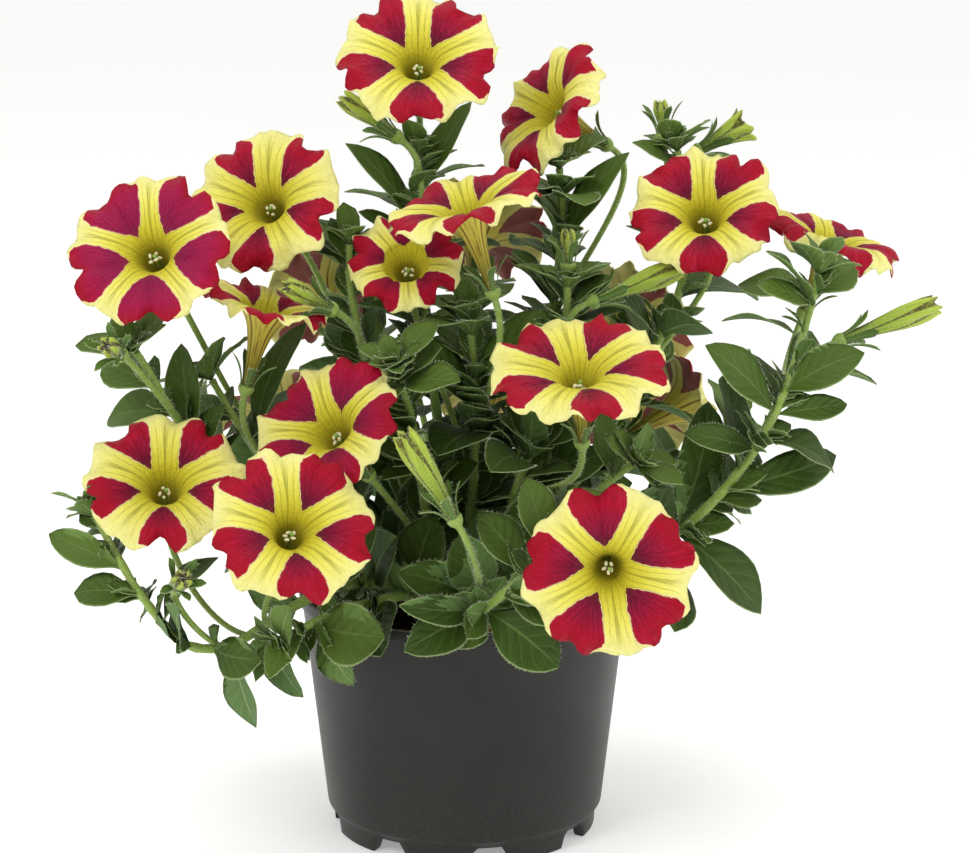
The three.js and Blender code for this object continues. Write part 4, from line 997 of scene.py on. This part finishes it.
# Length of the longest leaf in an axil and how many leaves it holds: low on a stem, high on it, and how much
# more on the inner stems
LOW_AXIL = (20, 5)
HIGH_AXIL = (14, 4)
INNER_AXIL = (6, 2)
INNER = ("centre", "centre_up", "centre_left", "left_upper", "top_centre", "top_right")
# Stems that end in a fork, with no rosette
FORKED = ("front",)
ROSETTE = 13
HAIRS_PER_MM = 6
HAIR_RADIUS = 0.055
# Rise and radius of the cup under a bloom or bud
CUP_OUTLINE = ((0.8, 1.9), (1.8, 2.55), (3.1, CUP_RADIUS), (CUP_HEIGHT, CUP_RADIUS - 0.25))


def width_at(outline, share):
    """Half width at a share of the length of an outline."""
    return float(np.interp(share, [p[0] for p in outline], [p[1] for p in outline]))


def any_way(draw):
    """A random direction."""
    turn, height = draw() * math.tau, draw() * 2 - 1
    flat = math.sqrt(1 - height * height)
    return Vector((flat * math.cos(turn), flat * math.sin(turn), height))


def fringe(place, side, outward, draw, roots, steps, longest):
    """Hairs along the two edges of a blade that place(u, v) lays out."""
    for edge in (0, 1):
        sign = 2 * edge - 1
        for k in range(steps):
            v = (k + draw()) / steps * 0.9 + 0.08
            way = side * sign + outward * (draw() - 0.3) * 0.8 + any_way(draw) * 0.3
            roots.append((place(edge, v), way, longest * (0.5 + 0.5 * draw())))


def lay_leaf(bm, leaf, draw, roots, longest):
    """A folded blade with a short petiole, between the foot and tip of its solid."""
    along = leaf.tip - leaf.foot
    length = along.length
    along.normalize()
    face = (leaf.face - along * leaf.face.dot(along)).normalized()
    side = along.cross(face)
    fold = 0.12 + 0.16 * draw()
    swing = draw() * math.tau
    ripple = 0.25 + 0.45 * draw()
    lean = 0.08 * (draw() - 0.5)
    curl = 0.05 * length * (draw() - 0.35)

    def place(u, v):
        x = 2 * u - 1
        half = leaf.width / 2 * width_at(LEAF_OUTLINE, v)
        rib = leaf.foot + along * (length * v) + face * (leaf.arch * length * 4 * v * (1 - v))
        rib += side * (lean * length * 4 * v * (1 - v)) - face * (curl * v ** 3)
        rise = half * fold * (abs(x) ** 1.5 - 0.4)
        rise += ripple * x * x * math.sin(v * 11 + swing + 1.6 * x) * min(1, half / 4)
        return rib + side * (half * x) + face * rise
    tone = min(1.0, 0.8 * smooth(0.6, 1.05, leaf.youth) + 0.22 * draw())
    columns, rows = next(grid[1:] for grid in LEAF_GRIDS if length > grid[0])
    thicken(bm, sheet(bm, columns, rows, place, FACE, tone), LEAF_WALL, BACK)
    pitch = 1.0 if length > LONG_LEAF else 1.3
    fringe(place, side, face, draw, roots, int(length / pitch), longest * 0.75)


def hides_label(point):
    """Whether a point lies in front of the label, seen from where the photograph was taken."""
    return point.z < 108 and point.y < -38 and abs(point.x - 22) < 17


def axil_leaves(growth, draw):
    """Small leaves in the axil of each leaf, and a rosette of them round the tip of the stem."""
    walk = growth.walk
    for leaf in list(growth.leaves):
        if leaf.youth > 0.99:
            continue
        point, heading = walk.at(leaf.youth * walk.length)
        away = (leaf.tip - leaf.foot).normalized()
        across = heading.cross(away).normalized()
        full, count = LOW_AXIL if leaf.youth < 0.75 else HIGH_AXIL
        if growth.stem.name in INNER:
            full += INNER_AXIL[0]
            count += INNER_AXIL[1]
        for k in range(count):
            out = away * (0.5 + 0.5 * draw()) + across * (draw() - 0.5) * 2.6
            out += heading * (0.2 + 0.8 * draw())
            out.normalize()
            length = full * (0.5 + 0.5 * draw())
            foot = point + heading * (draw() - 0.2) * 5
            face = heading + (foot - HEART).normalized() * 0.8 - out * 0.2
            tip = foot + out * length
            wide = 0.44 + 0.14 * draw()
            if not hides_label(tip) and tip.z > SOIL_TOP + 4:
                yield Leaf(foot, tip, face, length * wide, 0.1, 0.8)
    if growth.stem.name in FORKED:
        return
    point, heading = walk.at(walk.length)
    first, second = square_to(heading)
    for k in range(ROSETTE):
        turn = math.radians(GOLDEN_ANGLE * k + 20 * draw())
        rise = math.radians(20 + 4.5 * k + 8 * draw())
        out = around(first, second, turn)
        way = around(out, heading, rise)
        length = (14.5 - 0.75 * k) * (0.85 + 0.3 * draw())
        yield Leaf(point, point + way * length, heading - out * 0.4, length * 0.42, 0.12, 1.0)


def lay_sepal(bm, seat, facing, out, draw, roots, longest):
    """A narrow spoon that stands on the brim of a cup and bends outward."""
    across = facing.cross(out)
    more = draw()
    foot = seat + out * 2.3 - facing * 1.6
    bend = seat + out * 2.9 + facing * 6.0
    tip = seat + out * (SEPAL_SPREAD + 2.4 * more) + facing * (SEPAL_LENGTH + 0.6 - 3.0 * more)
    tip += across * (draw() - 0.5) * 2.4

    def place(u, v):
        x = 2 * u - 1
        half = width_at(SEPAL_OUTLINE, v)
        r = 1 - v
        rib = foot * (r * r) + bend * (2 * r * v) + tip * (v * v)
        return rib + across * (half * x) - out * (0.35 * half * x * x)
    thicken(bm, sheet(bm, 4, 8, place, SEPAL, 0.5), SEPAL_WALL, BACK)
    fringe(place, across, out, draw, roots, 11, longest * 0.8)


def lay_hairs(walk, radius_at, start, draw, roots, longest):
    """Hairs all round a walk from a place along it."""
    for _ in range(int((walk.length - start) * HAIRS_PER_MM)):
        along = lerp(start, walk.length, draw())
        point, heading = walk.at(along)
        out = around(*square_to(heading), draw() * math.tau)
        way = out + heading * (draw() - 0.4) * 0.7 + any_way(draw) * 0.2
        foot = point + out * (radius_at(along / walk.length) - 0.1)
        roots.append((foot, way, longest * (0.55 + 0.45 * draw())))


def stem_radius(share):
    """Radius of a stem at a share of its length, away from its leaves."""
    return lerp(STEM_RADIUS - 0.2, TIP_RADIUS - 0.15, share)


def stalk_radius(share):
    """Radius of a stalk at a share of its length."""
    return STALK_RADIUS * (1 + 0.2 * share * share)


def lay_stem(bm, growth):
    """The stem itself, thicker where each leaf stands."""
    walk = growth.walk
    steps = max(12, int(walk.length / 2.6))
    joints = [leaf.youth * walk.length for leaf in growth.leaves]
    stations = []
    for i, (point, first, second) in enumerate(walk.frames(steps, walk.at(walk.length)[1])):
        along = walk.length * i / steps
        swell = max((bell(along - joint, 1.8) for joint in joints), default=0)
        radius = stem_radius(i / steps) * (1 + 0.18 * swell + 0.03 * math.sin(along * 0.9))
        stations.append(Station(point, first, second, radius))
    tube(bm, stations, 14)


def lay_stalk(bm, walk, seat, facing):
    """A stalk that widens into the cup under its bloom or bud."""
    steps = max(10, int(walk.length / 2))
    found = walk.frames(steps, facing)
    stations = [Station(*place, stalk_radius(i / steps)) for i, place in enumerate(found)]
    _, first, second = found[-1]
    for rise, radius in CUP_OUTLINE:
        stations.append(Station(seat + facing * (rise - CUP_HEIGHT), first, second, radius))
    tube(bm, stations, 12, 0, 0.4)


def make_foliage(name, growth, settings):
    """The leaves with sepals, the shoots and the hairs of one stem, as three pieces."""
    node = f"stem_{name}"
    draw = drawer(growth.stem.seed * 7 + 3)
    longest = settings.hair_length / MM
    roots = []
    leaves, shoots = new_mesh(), new_mesh()
    for leaf in [*growth.leaves, *axil_leaves(growth, draw)]:
        lay_leaf(leaves, leaf, draw, roots, longest)
    lay_stem(shoots, growth)
    lay_hairs(growth.walk, stem_radius, SOIL_TOP + 3 - STEM_FOOT, draw, roots, longest)
    for walk, seat, facing, (first, second) in growth.stalks:
        lay_stalk(shoots, walk, seat, facing)
        lay_hairs(walk, stalk_radius, 2, draw, roots, longest * 0.85)
        for k in range(SEPALS):
            out = around(first, second, math.tau * k / SEPALS)
            lay_sepal(leaves, seat, facing, out, draw, roots, longest)
    skins = [
        material_of(leaf_side, settings, "leaf_face", settings.dark, settings.light, "6C8646", 0.45, 0.5),
        material_of(leaf_side, settings, "leaf_back", "50703A", "6B874C", "92A86C", 0.8, 0.6),
        material_of(leaf_side, settings, "sepal", "3F5E22", "5C7A32", "7F9A50", 0.5, 0.55),
    ]
    finish(leaves, f"foliage_{name}", node, skins)
    finish(shoots, f"shoot_{name}", node, [material_of(stem_skin, settings)])
    bristles(f"hairs_{name}", node, material_of(hair, settings), roots, HAIR_RADIUS)


# Blooms and buds

PETALS = 5
SECTOR = 360 / PETALS
PETAL_WALL = 0.35
PETAL_FACE, PETAL_BACK, ANTHER, STIGMA, FILAMENT = range(5)
# Radius in millimetres and height as a share of the tube, from the foot of the throat up
THROAT = ((1.4, -1.0), (1.7, -0.84), (2.3, -0.66), (3.3, -0.48), (5.0, -0.29), (7.8, -0.13))
# Radius as a share of the bloom's, height in millimetres, and share of the bloom's roll at the edge
LIMB = ((0.42, -1.5, 0), (0.57, -0.35, -0.03), (0.725, 0.25, -0.02), (0.88, 0.1, -0.3), (1.0, 0.0, -1.0))
# How many waves go round the edge, and how far they swing: up and down in millimetres, in and out as a share
RUFFLES = ((7, 1.2), (13, 1.5), (22, 0.8), (37, 0.25))
SCALLOPS = ((8, 0.022), (13, 0.016), (23, 0.009), (41, 0.004))
# Half widths along a bud as shares of its radius, closed and half open
BUD_SPINDLE = ((0, 0.46), (0.15, 0.5), (0.3, 0.6), (0.46, 0.78), (0.62, 0.94), (0.76, 0.98), (0.88, 0.88),
               (1.0, 0.66))
OPEN_SPINDLE = ((0, 0.46), (0.15, 0.48), (0.3, 0.55), (0.46, 0.66), (0.62, 0.8), (0.76, 0.92), (0.88, 1.02),
                (1.0, 1.2))
BUD_TWIST = 58
BUD_MOUTH = 0.88
DOWN_SHARE = 0.25
DOWN_RADIUS = 0.05


def cyclic(values, places, angle):
    """A smooth blend of the values at places round a circle of 360 degrees."""
    turn = angle % 360
    i = max(k for k, place in enumerate(places) if place <= turn)
    following = places[i + 1] if i + 1 < len(places) else 360
    return lerp(values[i], values[(i + 1) % len(values)], smooth(places[i], following, turn))


def waver(waves, angle):
    """Sum at an angle of waves round a circle, each given as count, start and size."""
    return sum(size * math.sin(count * math.radians(angle) + start) for count, start, size in waves)


def lay_corolla(bm, bloom, facing, draw):
    """A trumpet that opens into five ruffled petals: u starts at a yellow ray, v runs from foot to edge."""
    first, second = square_to(facing)
    middle = Vector(bloom.at)
    spine = [Vector((radius, height * bloom.tube, 0)) for radius, height in THROAT]
    spine[0].y -= 0.9
    spine += [Vector((share * bloom.radius, height + roll * bloom.bend, 0)) for share, height, roll in LIMB]
    places = [SECTOR * k + r for k in range(PETALS) for r in (0, 18, 54)]
    sways = [1 + 0.035 * math.sin(2.3 * i + bloom.turn) for i in range(len(places))]
    waves = [1.1 * math.sin(1.7 * i + 0.3 * bloom.turn) for i in range(len(places))]
    ruffles = [(count, draw() * math.tau, size) for count, size in RUFFLES]
    scallops = [(count, draw() * math.tau, size) for count, size in SCALLOPS]
    pinch = 0.7 + 0.5 * draw()

    def place(u, v):
        angle = -360 * u
        radius, height, _ = through(spine, v)
        seam = angle - SECTOR / 2
        off_seam = abs((seam + SECTOR / 2) % SECTOR - SECTOR / 2)
        off_ray = abs((angle + SECTOR / 2) % SECTOR - SECTOR / 2)
        out = smooth(0.55, 1.0, v)
        edge = out ** 3
        notch = bell(off_seam, 6.5)
        radius *= 1 + edge * (cyclic(sways, places, seam) - 1 - 0.14 * notch - 0.05 * bell(off_ray, 9))
        radius *= 1 + edge * waver(scallops, angle)
        height += out * out * cyclic(waves, places, seam) + edge * 1.2 * notch
        height += edge * waver(ruffles, angle)
        limb = smooth(0.42, 0.6, v) * (1 - smooth(0.8, 1.0, v) * 0.5)
        height += limb * (0.35 * bell(off_ray, 2.4) - 0.9 * pinch * bell(off_seam, 4.5))
        height += limb * 0.5 * math.sin(math.radians(off_ray) * 4) * out
        return middle + facing * height + around(first, second, math.radians(bloom.turn + angle)) * radius
    faces = sheet(bm, 95, 27, place, PETAL_FACE, bloom.tone)
    close_round(bm, faces)
    thicken(bm, list(bm.faces), PETAL_WALL, PETAL_BACK)


def lay_stamens(bm, bloom, facing, draw):
    """Five anthers on thin filaments round a green stigma, down in the throat."""
    first, second = square_to(facing)
    middle = Vector(bloom.at)
    foot = middle + facing * (-0.62 * bloom.tube)

    def rod(top, foot, radius, slot):
        across = square_to((top - foot).normalized())
        bend = (first * (draw() - 0.5) + second * (draw() - 0.5)) * 0.8
        stations = [Station(foot.lerp(top, k / 5) + bend * math.sin(math.pi * k / 5), *across, radius)
                    for k in range(6)]
        tube(bm, stations, 6, slot)

    def head(centre, size, slot):
        turn = Matrix.Rotation(draw() * math.tau, 4, any_way(draw))
        made = bmesh.ops.create_icosphere(bm, subdivisions=2, radius=1, matrix=(
            Matrix.Translation(centre) @ turn @ Matrix.Diagonal((*size, 1))))["verts"]
        for face in {f for v in made for f in v.link_faces}:
            face.smooth = True
            face.material_index = slot
    start = draw() * SECTOR
    for k in range(PETALS):
        out = around(first, second, math.radians(start + SECTOR * k + 16 * draw()))
        top = middle - facing * (7.2 + 2.2 * draw()) + out * (1.2 + 0.7 * draw())
        rod(top, foot + out * 1.2, 0.2, FILAMENT)
        head(top, (0.95, 0.62, 0.58), ANTHER)
    top = middle - facing * 7.0 + first * 0.4
    rod(top, foot, 0.26, STIGMA)
    head(top, (0.85, 0.85, 0.6), STIGMA)


def make_flower(bloom, settings, foliage):
    """One bloom with its stamens."""
    facing = direction(*bloom.face)
    draw = drawer(int(bloom.turn * 31 + bloom.radius * 101 + bloom.start))
    bm = new_mesh()
    lay_corolla(bm, bloom, facing, draw)
    lay_stamens(bm, bloom, facing, draw)
    skins = [material_of(maker, settings) for maker in (petal_face, petal_back, anther_skin, stigma_skin)]
    skins.append(material_of(stem_skin, foliage))
    finish(bm, f"flower_{bloom.name}", f"bloom_{bloom.name}", skins)


def lay_bud(bm, bud, facing, draw):
    """Furled petals: five twisted pleats that close round a small dark mouth."""
    first, second = square_to(facing)
    foot = Vector(bud.foot)
    length = (Vector(bud.tip) - foot).length
    outline = OPEN_SPINDLE if bud.name == "half_open" else BUD_SPINDLE

    def place(u, v):
        share = min(1.0, v / BUD_MOUTH)
        inside = max(0.0, (v - BUD_MOUTH) / (1 - BUD_MOUTH))
        turn = math.tau * u
        radius = min(1.5 + 20 * share, width_at(outline, share) * bud.radius)
        pleat = 0.05 + 0.27 * share ** 3
        radius *= 1 + pleat * math.cos(5 * turn) + 0.05 * math.sin(9 * turn + 7 * v)
        radius *= 1 - inside
        lip = math.cos(5 * turn + 0.8) + 0.5 * math.sin(11 * turn)
        height = length * share - inside * length * 0.2 + 0.9 * share ** 5 * lip * (1 - inside)
        turn += math.radians(BUD_TWIST * share)
        return foot + facing * height + around(first, second, turn) * radius
    close_round(bm, sheet(bm, 45, 22, place, 0, draw()))
    open_edges = [edge for edge in bm.edges if edge.is_boundary]
    bmesh.ops.holes_fill(bm, edges=open_edges, sides=0)
    bm.normal_update()


def make_bud(bud, settings, foliage):
    """The furled petals of one bud and the down on them, as two pieces."""
    foot = Vector(bud.foot)
    bm = new_mesh()
    draw = drawer(int(bud.radius * 71 + bud.start))
    lay_bud(bm, bud, (Vector(bud.tip) - foot).normalized(), draw)
    roots = []
    for face in bm.faces:
        spot = face.calc_center_median()
        if face.normal.dot(spot - foot) > 0 and draw() < DOWN_SHARE:
            way = face.normal + any_way(draw) * 0.4
            roots.append((spot, way, foliage.hair_length / MM * (0.5 + 0.3 * draw())))
    node = f"bud_{bud.name}"
    finish(bm, f"furled_{bud.name}", node, [material_of(bud_skin, settings)])
    bristles(f"down_{bud.name}", node, material_of(hair, foliage), roots, DOWN_RADIUS)


# Pot, soil and label

# Radius and height round the pot's wall: under the floor, over the feet, up the outside and down the inside
INNER_TOP = (57, 83)
INNER_FOOT = (48.9, 9.2)
POT_OUTLINE = ((0, 0), (20, 0), (20.5, 7.4), (43.3, 7.4), (43.8, 0), (47.8, 0), (48.2, 7), (50.3, 9),
               (58.8, 84), (60, 84.8), (60, 89), (58.6, 89), INNER_TOP, INNER_FOOT, (0, 9.2))
POT_ROUNDING = (0, 0.6, 0.6, 0.8, 0.9, 0.9, 0.7, 0.9, 0.35, 0.5, 0.65, 0.6, 1.2, 1.5, 0)
POT_COLUMNS = 176
POT_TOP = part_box("pot")[1][2]
# The ring of feet as inner and outer radius and height, and the arches that are cut from it
FOOT_RING = (43, 49, 6.9)
ARCHES = 8
ARCH_TURN = 101
ARCH_HEIGHT = 6
ARCH_HALVES = (4.8, 7.6)
# Heights in metres between which the painted highlight along the lip comes in, up to which dust lies, and
# from ring to ring
LIP_HIGHLIGHT = (0.0884, 0.0889)
DUST_TOP = 0.05
RING_PITCH = 0.0021
SOIL_GAP = 0.3
SOIL_ROWS = 40
SOIL_COLUMNS = 140
LABEL_LENGTH = 38
LABEL_POINT = 10
LABEL_PLACE = (Matrix.Translation((19, -46, 98)) @ Matrix.Rotation(math.radians(-8), 4, "X")
               @ Matrix.Rotation(math.radians(27), 4, "Y") @ Matrix.Translation((0, 0, -LABEL_LENGTH / 2)))


def rounded_outline():
    """The pot's outline with its corners rounded, and its long outer wall cut into short steps."""
    points = [Vector((x, z)) for x, z in POT_OUTLINE]
    found = [points[0]]
    for i in range(1, len(points) - 1):
        before, corner, after = points[i - 1], points[i], points[i + 1]
        radius = POT_ROUNDING[i]
        a = corner + (before - corner).normalized() * radius
        b = corner + (after - corner).normalized() * radius
        if (a - found[-1]).length > 20:
            found += [found[-1].lerp(a, k / 8) for k in range(1, 8)]
        for s in (0, 1 / 3, 2 / 3, 1):
            found.append(a * (1 - s) ** 2 + corner * (2 * s * (1 - s)) + b * s ** 2)
    found.append(points[-1])
    return found


def arch_lift(x, y, z):
    """Height of a foot ring point once the arches are cut from it."""
    low, high, top = FOOT_RING
    radius = math.hypot(x, y)
    if not low < radius < high or z > top:
        return z
    step = 360 / ARCHES
    off = (math.degrees(math.atan2(y, x)) - ARCH_TURN + step / 2) % step - step / 2
    across = abs(radius * math.sin(math.radians(off)))
    lift = ARCH_HEIGHT * (1 - smooth(*ARCH_HALVES, across))
    return lift + z * (top - lift) / top


def make_pot(settings):
    """The pot, spun from its outline, with arches between its feet."""
    bm = new_mesh()
    verts = [bm.verts.new((p.x, 0, p.y)) for p in rounded_outline()]
    edges = [bm.edges.new(pair) for pair in zip(verts, verts[1:])]
    bmesh.ops.spin(bm, geom=verts + edges, cent=(0, 0, 0), axis=(0, 0, 1), angle=math.tau, steps=POT_COLUMNS,
                   use_merge=True)
    bmesh.ops.remove_doubles(bm, verts=bm.verts, dist=1e-3)
    bmesh.ops.recalc_face_normals(bm, faces=bm.faces)
    for vert in bm.verts:
        vert.co.z = arch_lift(*vert.co)
    for face in bm.faces:
        face.smooth = True
    wide, high = settings.rim / half_width("pot"), settings.height / POT_TOP
    bmesh.ops.transform(bm, verts=bm.verts, matrix=Matrix.Diagonal((wide, wide, high, 1)))
    finish(bm, "pot_shell", "pot", [material_of(pot_plastic, settings)])


def inside_radius(height):
    """Radius of the soil at a height, a small gap inside the pot's wall."""
    (low, foot), (high, top) = INNER_FOOT, INNER_TOP
    return lerp(low, high, (height - foot) / (top - foot)) - SOIL_GAP


def soil_height(x, y):
    """Uneven top of the soil, which rises a little round each stem."""
    spot = Vector((x, y, 0))
    height = SOIL_TOP + 0.8 + 1.6 * noise.noise(spot * 0.07) + 1.1 * noise.noise(spot * 0.22)
    height += 0.7 * noise.noise(spot * 0.6)
    for stem in STEMS:
        height += 1.3 * bell(math.hypot(x - stem.hole[0], y - stem.hole[1]), 5)
    return height


def make_soil(settings):
    """The bed of soil, with its underside in the first rows, its side in the next and its top in the rest."""
    bm = new_mesh()

    def place(u, v):
        row = v * SOIL_ROWS
        turn = -math.tau * u
        if row < 1.5:
            radius, height = (0 if row < 0.5 else inside_radius(SOIL_FLOOR)), SOIL_FLOOR
        elif row < 5.5:
            height = lerp(SOIL_FLOOR, SOIL_TOP - 1, (row - 1) / 4)
            radius = inside_radius(height)
        else:
            radius = inside_radius(SOIL_TOP) * (1 - (row - 6) / (SOIL_ROWS - 6))
            height = soil_height(radius * math.cos(turn), radius * math.sin(turn))
        return Vector((radius * math.cos(turn), radius * math.sin(turn), height))
    close_round(bm, sheet(bm, SOIL_COLUMNS, SOIL_ROWS, place))
    bmesh.ops.recalc_face_normals(bm, faces=bm.faces)
    finish(bm, "soil_bed", "soil", [material_of(soil_crumb, settings)])


def make_crumbs(settings):
    """Loose crumbs on the soil, all from one ball."""
    ball = bmesh.new()
    bmesh.ops.create_icosphere(ball, subdivisions=1, radius=1)
    corners = [v.co.copy() for v in ball.verts]
    sides = [[v.index for v in f.verts] for f in ball.faces]
    ball.free()
    draw = drawer(41)
    points, faces = [], []
    for _ in range(settings.crumbs):
        turn, out = draw() * math.tau, (inside_radius(SOIL_TOP) - 1.5) * math.sqrt(draw())
        x, y = out * math.cos(turn), out * math.sin(turn)
        size = 0.5 + 1.5 * draw() ** 3
        centre = Vector((x, y, soil_height(x, y) + size * 0.3))
        spin = Matrix.Rotation(draw() * math.tau, 3, any_way(draw))
        shape = Matrix.Diagonal((size, size * (0.6 + 0.4 * draw()), size * (0.5 + 0.4 * draw())))
        faces += [[len(points) + k for k in side] for side in sides]
        points += [(centre + spin @ (shape @ corner)) * MM for corner in corners]
    mesh = bpy.data.meshes.new("soil_crumbs")
    mesh.from_pydata(points, [], faces)
    settle(mesh, "soil_crumbs", "soil", [material_of(soil_crumb, settings)])


def make_label(settings):
    """A plain stake with a pointed foot and eased edges, leaning in the soil."""
    bm = new_mesh()
    thickness = settings.thickness / MM
    half = settings.width / MM / 2
    end = LABEL_LENGTH / 2

    def place(u, v):
        z = lerp(1 - end, end, v)
        room = half * min(1, max(0.05, (z + end - 1) / (LABEL_POINT - 1)))
        room -= max(0, z - end + 2) ** 2 / 4 * 1.6
        return LABEL_PLACE @ Vector(((2 * u - 1) * room, -thickness / 2, z))
    thicken(bm, sheet(bm, 6, 38, place), thickness, 0)
    sharp = [e for e in bm.edges if len(e.link_faces) == 2 and e.calc_face_angle() > 0.9]
    bmesh.ops.bevel(bm, geom=sharp, offset=0.12, segments=2, profile=0.5, material=-1, affect="EDGES")
    for face in bm.faces:
        face.smooth = True
    finish(bm, "label_stake", "label", [material_of(label_plastic, settings)])


# Stage, in metres

FLOOR_REACH = 40.0
# Lights as name, place, width and power in watts
LIGHTS = (("key", (-0.75, -1.0, 1.15), 0.7, 8), ("fill", (1.2, -0.35, 0.5), 0.9, 4.5),
          ("above", (0.1, 0.3, 1.5), 0.9, 5))
LIGHT_AIM = Vector((0, 0, 0.17))
ROOM_LIGHT = 0.7
CAMERA_PLACE = (0.0075, -0.98, 0.368)
CAMERA_DIP = 12.63
CAMERA_LENS = 103.8


def show(name, data):
    """A new object of the scene for some data."""
    item = bpy.data.objects.new(name, data)
    bpy.context.scene.collection.objects.link(item)
    return item


def make_floor(settings):
    """A wide white floor."""
    bm = new_mesh()
    bmesh.ops.create_grid(bm, x_segments=2, y_segments=2, size=FLOOR_REACH)
    mesh = bpy.data.meshes.new("stage_floor")
    bm.to_mesh(mesh)
    bm.free()
    mesh.materials.append(material_of(floor_paper, settings))
    floor = show("stage_floor", mesh)


def make_lights(settings):
    """Round soft lights and a white room."""
    for name, place, size, power in LIGHTS:
        data = bpy.data.lights.new(name, "AREA")
        data.shape = "DISK"
        data.size = size
        data.energy = power * settings.light
        lamp = show(name, data)
        lamp.location = place
        lamp.rotation_euler = (LIGHT_AIM - Vector(place)).to_track_quat("-Z", "Y").to_euler()
    world = bpy.data.worlds.new("soft_room")
    world.use_nodes = True
    backing = world.node_tree.nodes["Background"]
    backing.inputs["Color"].default_value = (1, 1, 1, 1)
    backing.inputs["Strength"].default_value = ROOM_LIGHT * settings.light
    bpy.context.scene.world = world


def make_camera():
    """A camera where the photograph was taken from."""
    data = bpy.data.cameras.new("photo_view")
    data.sensor_width = 36
    data.lens = CAMERA_LENS
    data.clip_end = 50
    camera = show("photo_view", data)
    camera.location = CAMERA_PLACE
    camera.rotation_euler = (math.radians(90 - CAMERA_DIP), 0, 0)
    bpy.context.scene.camera = camera
    bpy.context.scene.view_settings.view_transform = "Standard"


# Operators, panel and registration

class PETUNIA_OT_pot(bpy.types.Operator):
    """Make the pot"""
    bl_idname = "petunia.pot"
    bl_label = "Pot"

    def execute(self, context):
        make_pot(context.scene.petunia_pot)
        return {"FINISHED"}


class PETUNIA_OT_soil(bpy.types.Operator):
    """Make the soil and its crumbs"""
    bl_idname = "petunia.soil"
    bl_label = "Soil"

    def execute(self, context):
        make_soil(context.scene.petunia_soil)
        make_crumbs(context.scene.petunia_soil)
        return {"FINISHED"}


class PETUNIA_OT_label(bpy.types.Operator):
    """Make the blank label stake"""
    bl_idname = "petunia.label"
    bl_label = "Label"

    def execute(self, context):
        make_label(context.scene.petunia_label)
        return {"FINISHED"}


class PETUNIA_OT_foliage(bpy.types.Operator):
    """Make the stems, stalks, sepals, leaves and hairs"""
    bl_idname = "petunia.foliage"
    bl_label = "Foliage"

    def execute(self, context):
        for name, growth in GROWTHS.items():
            make_foliage(name, growth, context.scene.petunia_foliage)
        return {"FINISHED"}


class PETUNIA_OT_blooms(bpy.types.Operator):
    """Make the blooms and buds"""
    bl_idname = "petunia.blooms"
    bl_label = "Blooms and buds"

    def execute(self, context):
        scene = context.scene
        for bloom in BLOOMS:
            make_flower(bloom, scene.petunia_petal, scene.petunia_foliage)
        for bud in BUDS:
            make_bud(bud, scene.petunia_petal, scene.petunia_foliage)
        return {"FINISHED"}


class PETUNIA_OT_stage(bpy.types.Operator):
    """Set up the floor, the lights and the camera"""
    bl_idname = "petunia.stage"
    bl_label = "Stage"

    def execute(self, context):
        make_floor(context.scene.petunia_stage)
        make_lights(context.scene.petunia_stage)
        make_camera()
        return {"FINISHED"}


SETTINGS = {"petunia_pot": PotSettings, "petunia_soil": SoilSettings, "petunia_label": LabelSettings,
            "petunia_foliage": FoliageSettings, "petunia_petal": PetalSettings,
            "petunia_stage": StageSettings}
OPERATORS = (PETUNIA_OT_pot, PETUNIA_OT_soil, PETUNIA_OT_label, PETUNIA_OT_foliage, PETUNIA_OT_blooms,
             PETUNIA_OT_stage)


class PETUNIA_PT_panel(bpy.types.Panel):
    """Settings and makers of the potted petunia"""
    bl_label = "Potted petunia"
    bl_idname = "PETUNIA_PT_panel"
    bl_space_type = "VIEW_3D"
    bl_region_type = "UI"
    bl_category = "Petunia"

    def draw(self, context):
        for name, kind in SETTINGS.items():
            box = self.layout.box()
            group = getattr(context.scene, name)
            for label in kind.__annotations__:
                box.prop(group, label)
        for operator in OPERATORS:
            self.layout.operator(operator.bl_idname)


CLASSES = (*SETTINGS.values(), *OPERATORS, PETUNIA_PT_panel)


def register():
    for kind in CLASSES:
        bpy.utils.register_class(kind)
    for name, kind in SETTINGS.items():
        setattr(bpy.types.Scene, name, PointerProperty(type=kind))


def unregister():
    for name in SETTINGS:
        delattr(bpy.types.Scene, name)
    for kind in reversed(CLASSES):
        bpy.utils.unregister_class(kind)


def main():
    register()
    bpy.ops.petunia.pot()
    bpy.ops.petunia.soil()
    bpy.ops.petunia.label()
    bpy.ops.petunia.foliage()
    bpy.ops.petunia.blooms()
    bpy.ops.petunia.stage()


if __name__ == "__main__":
    main()
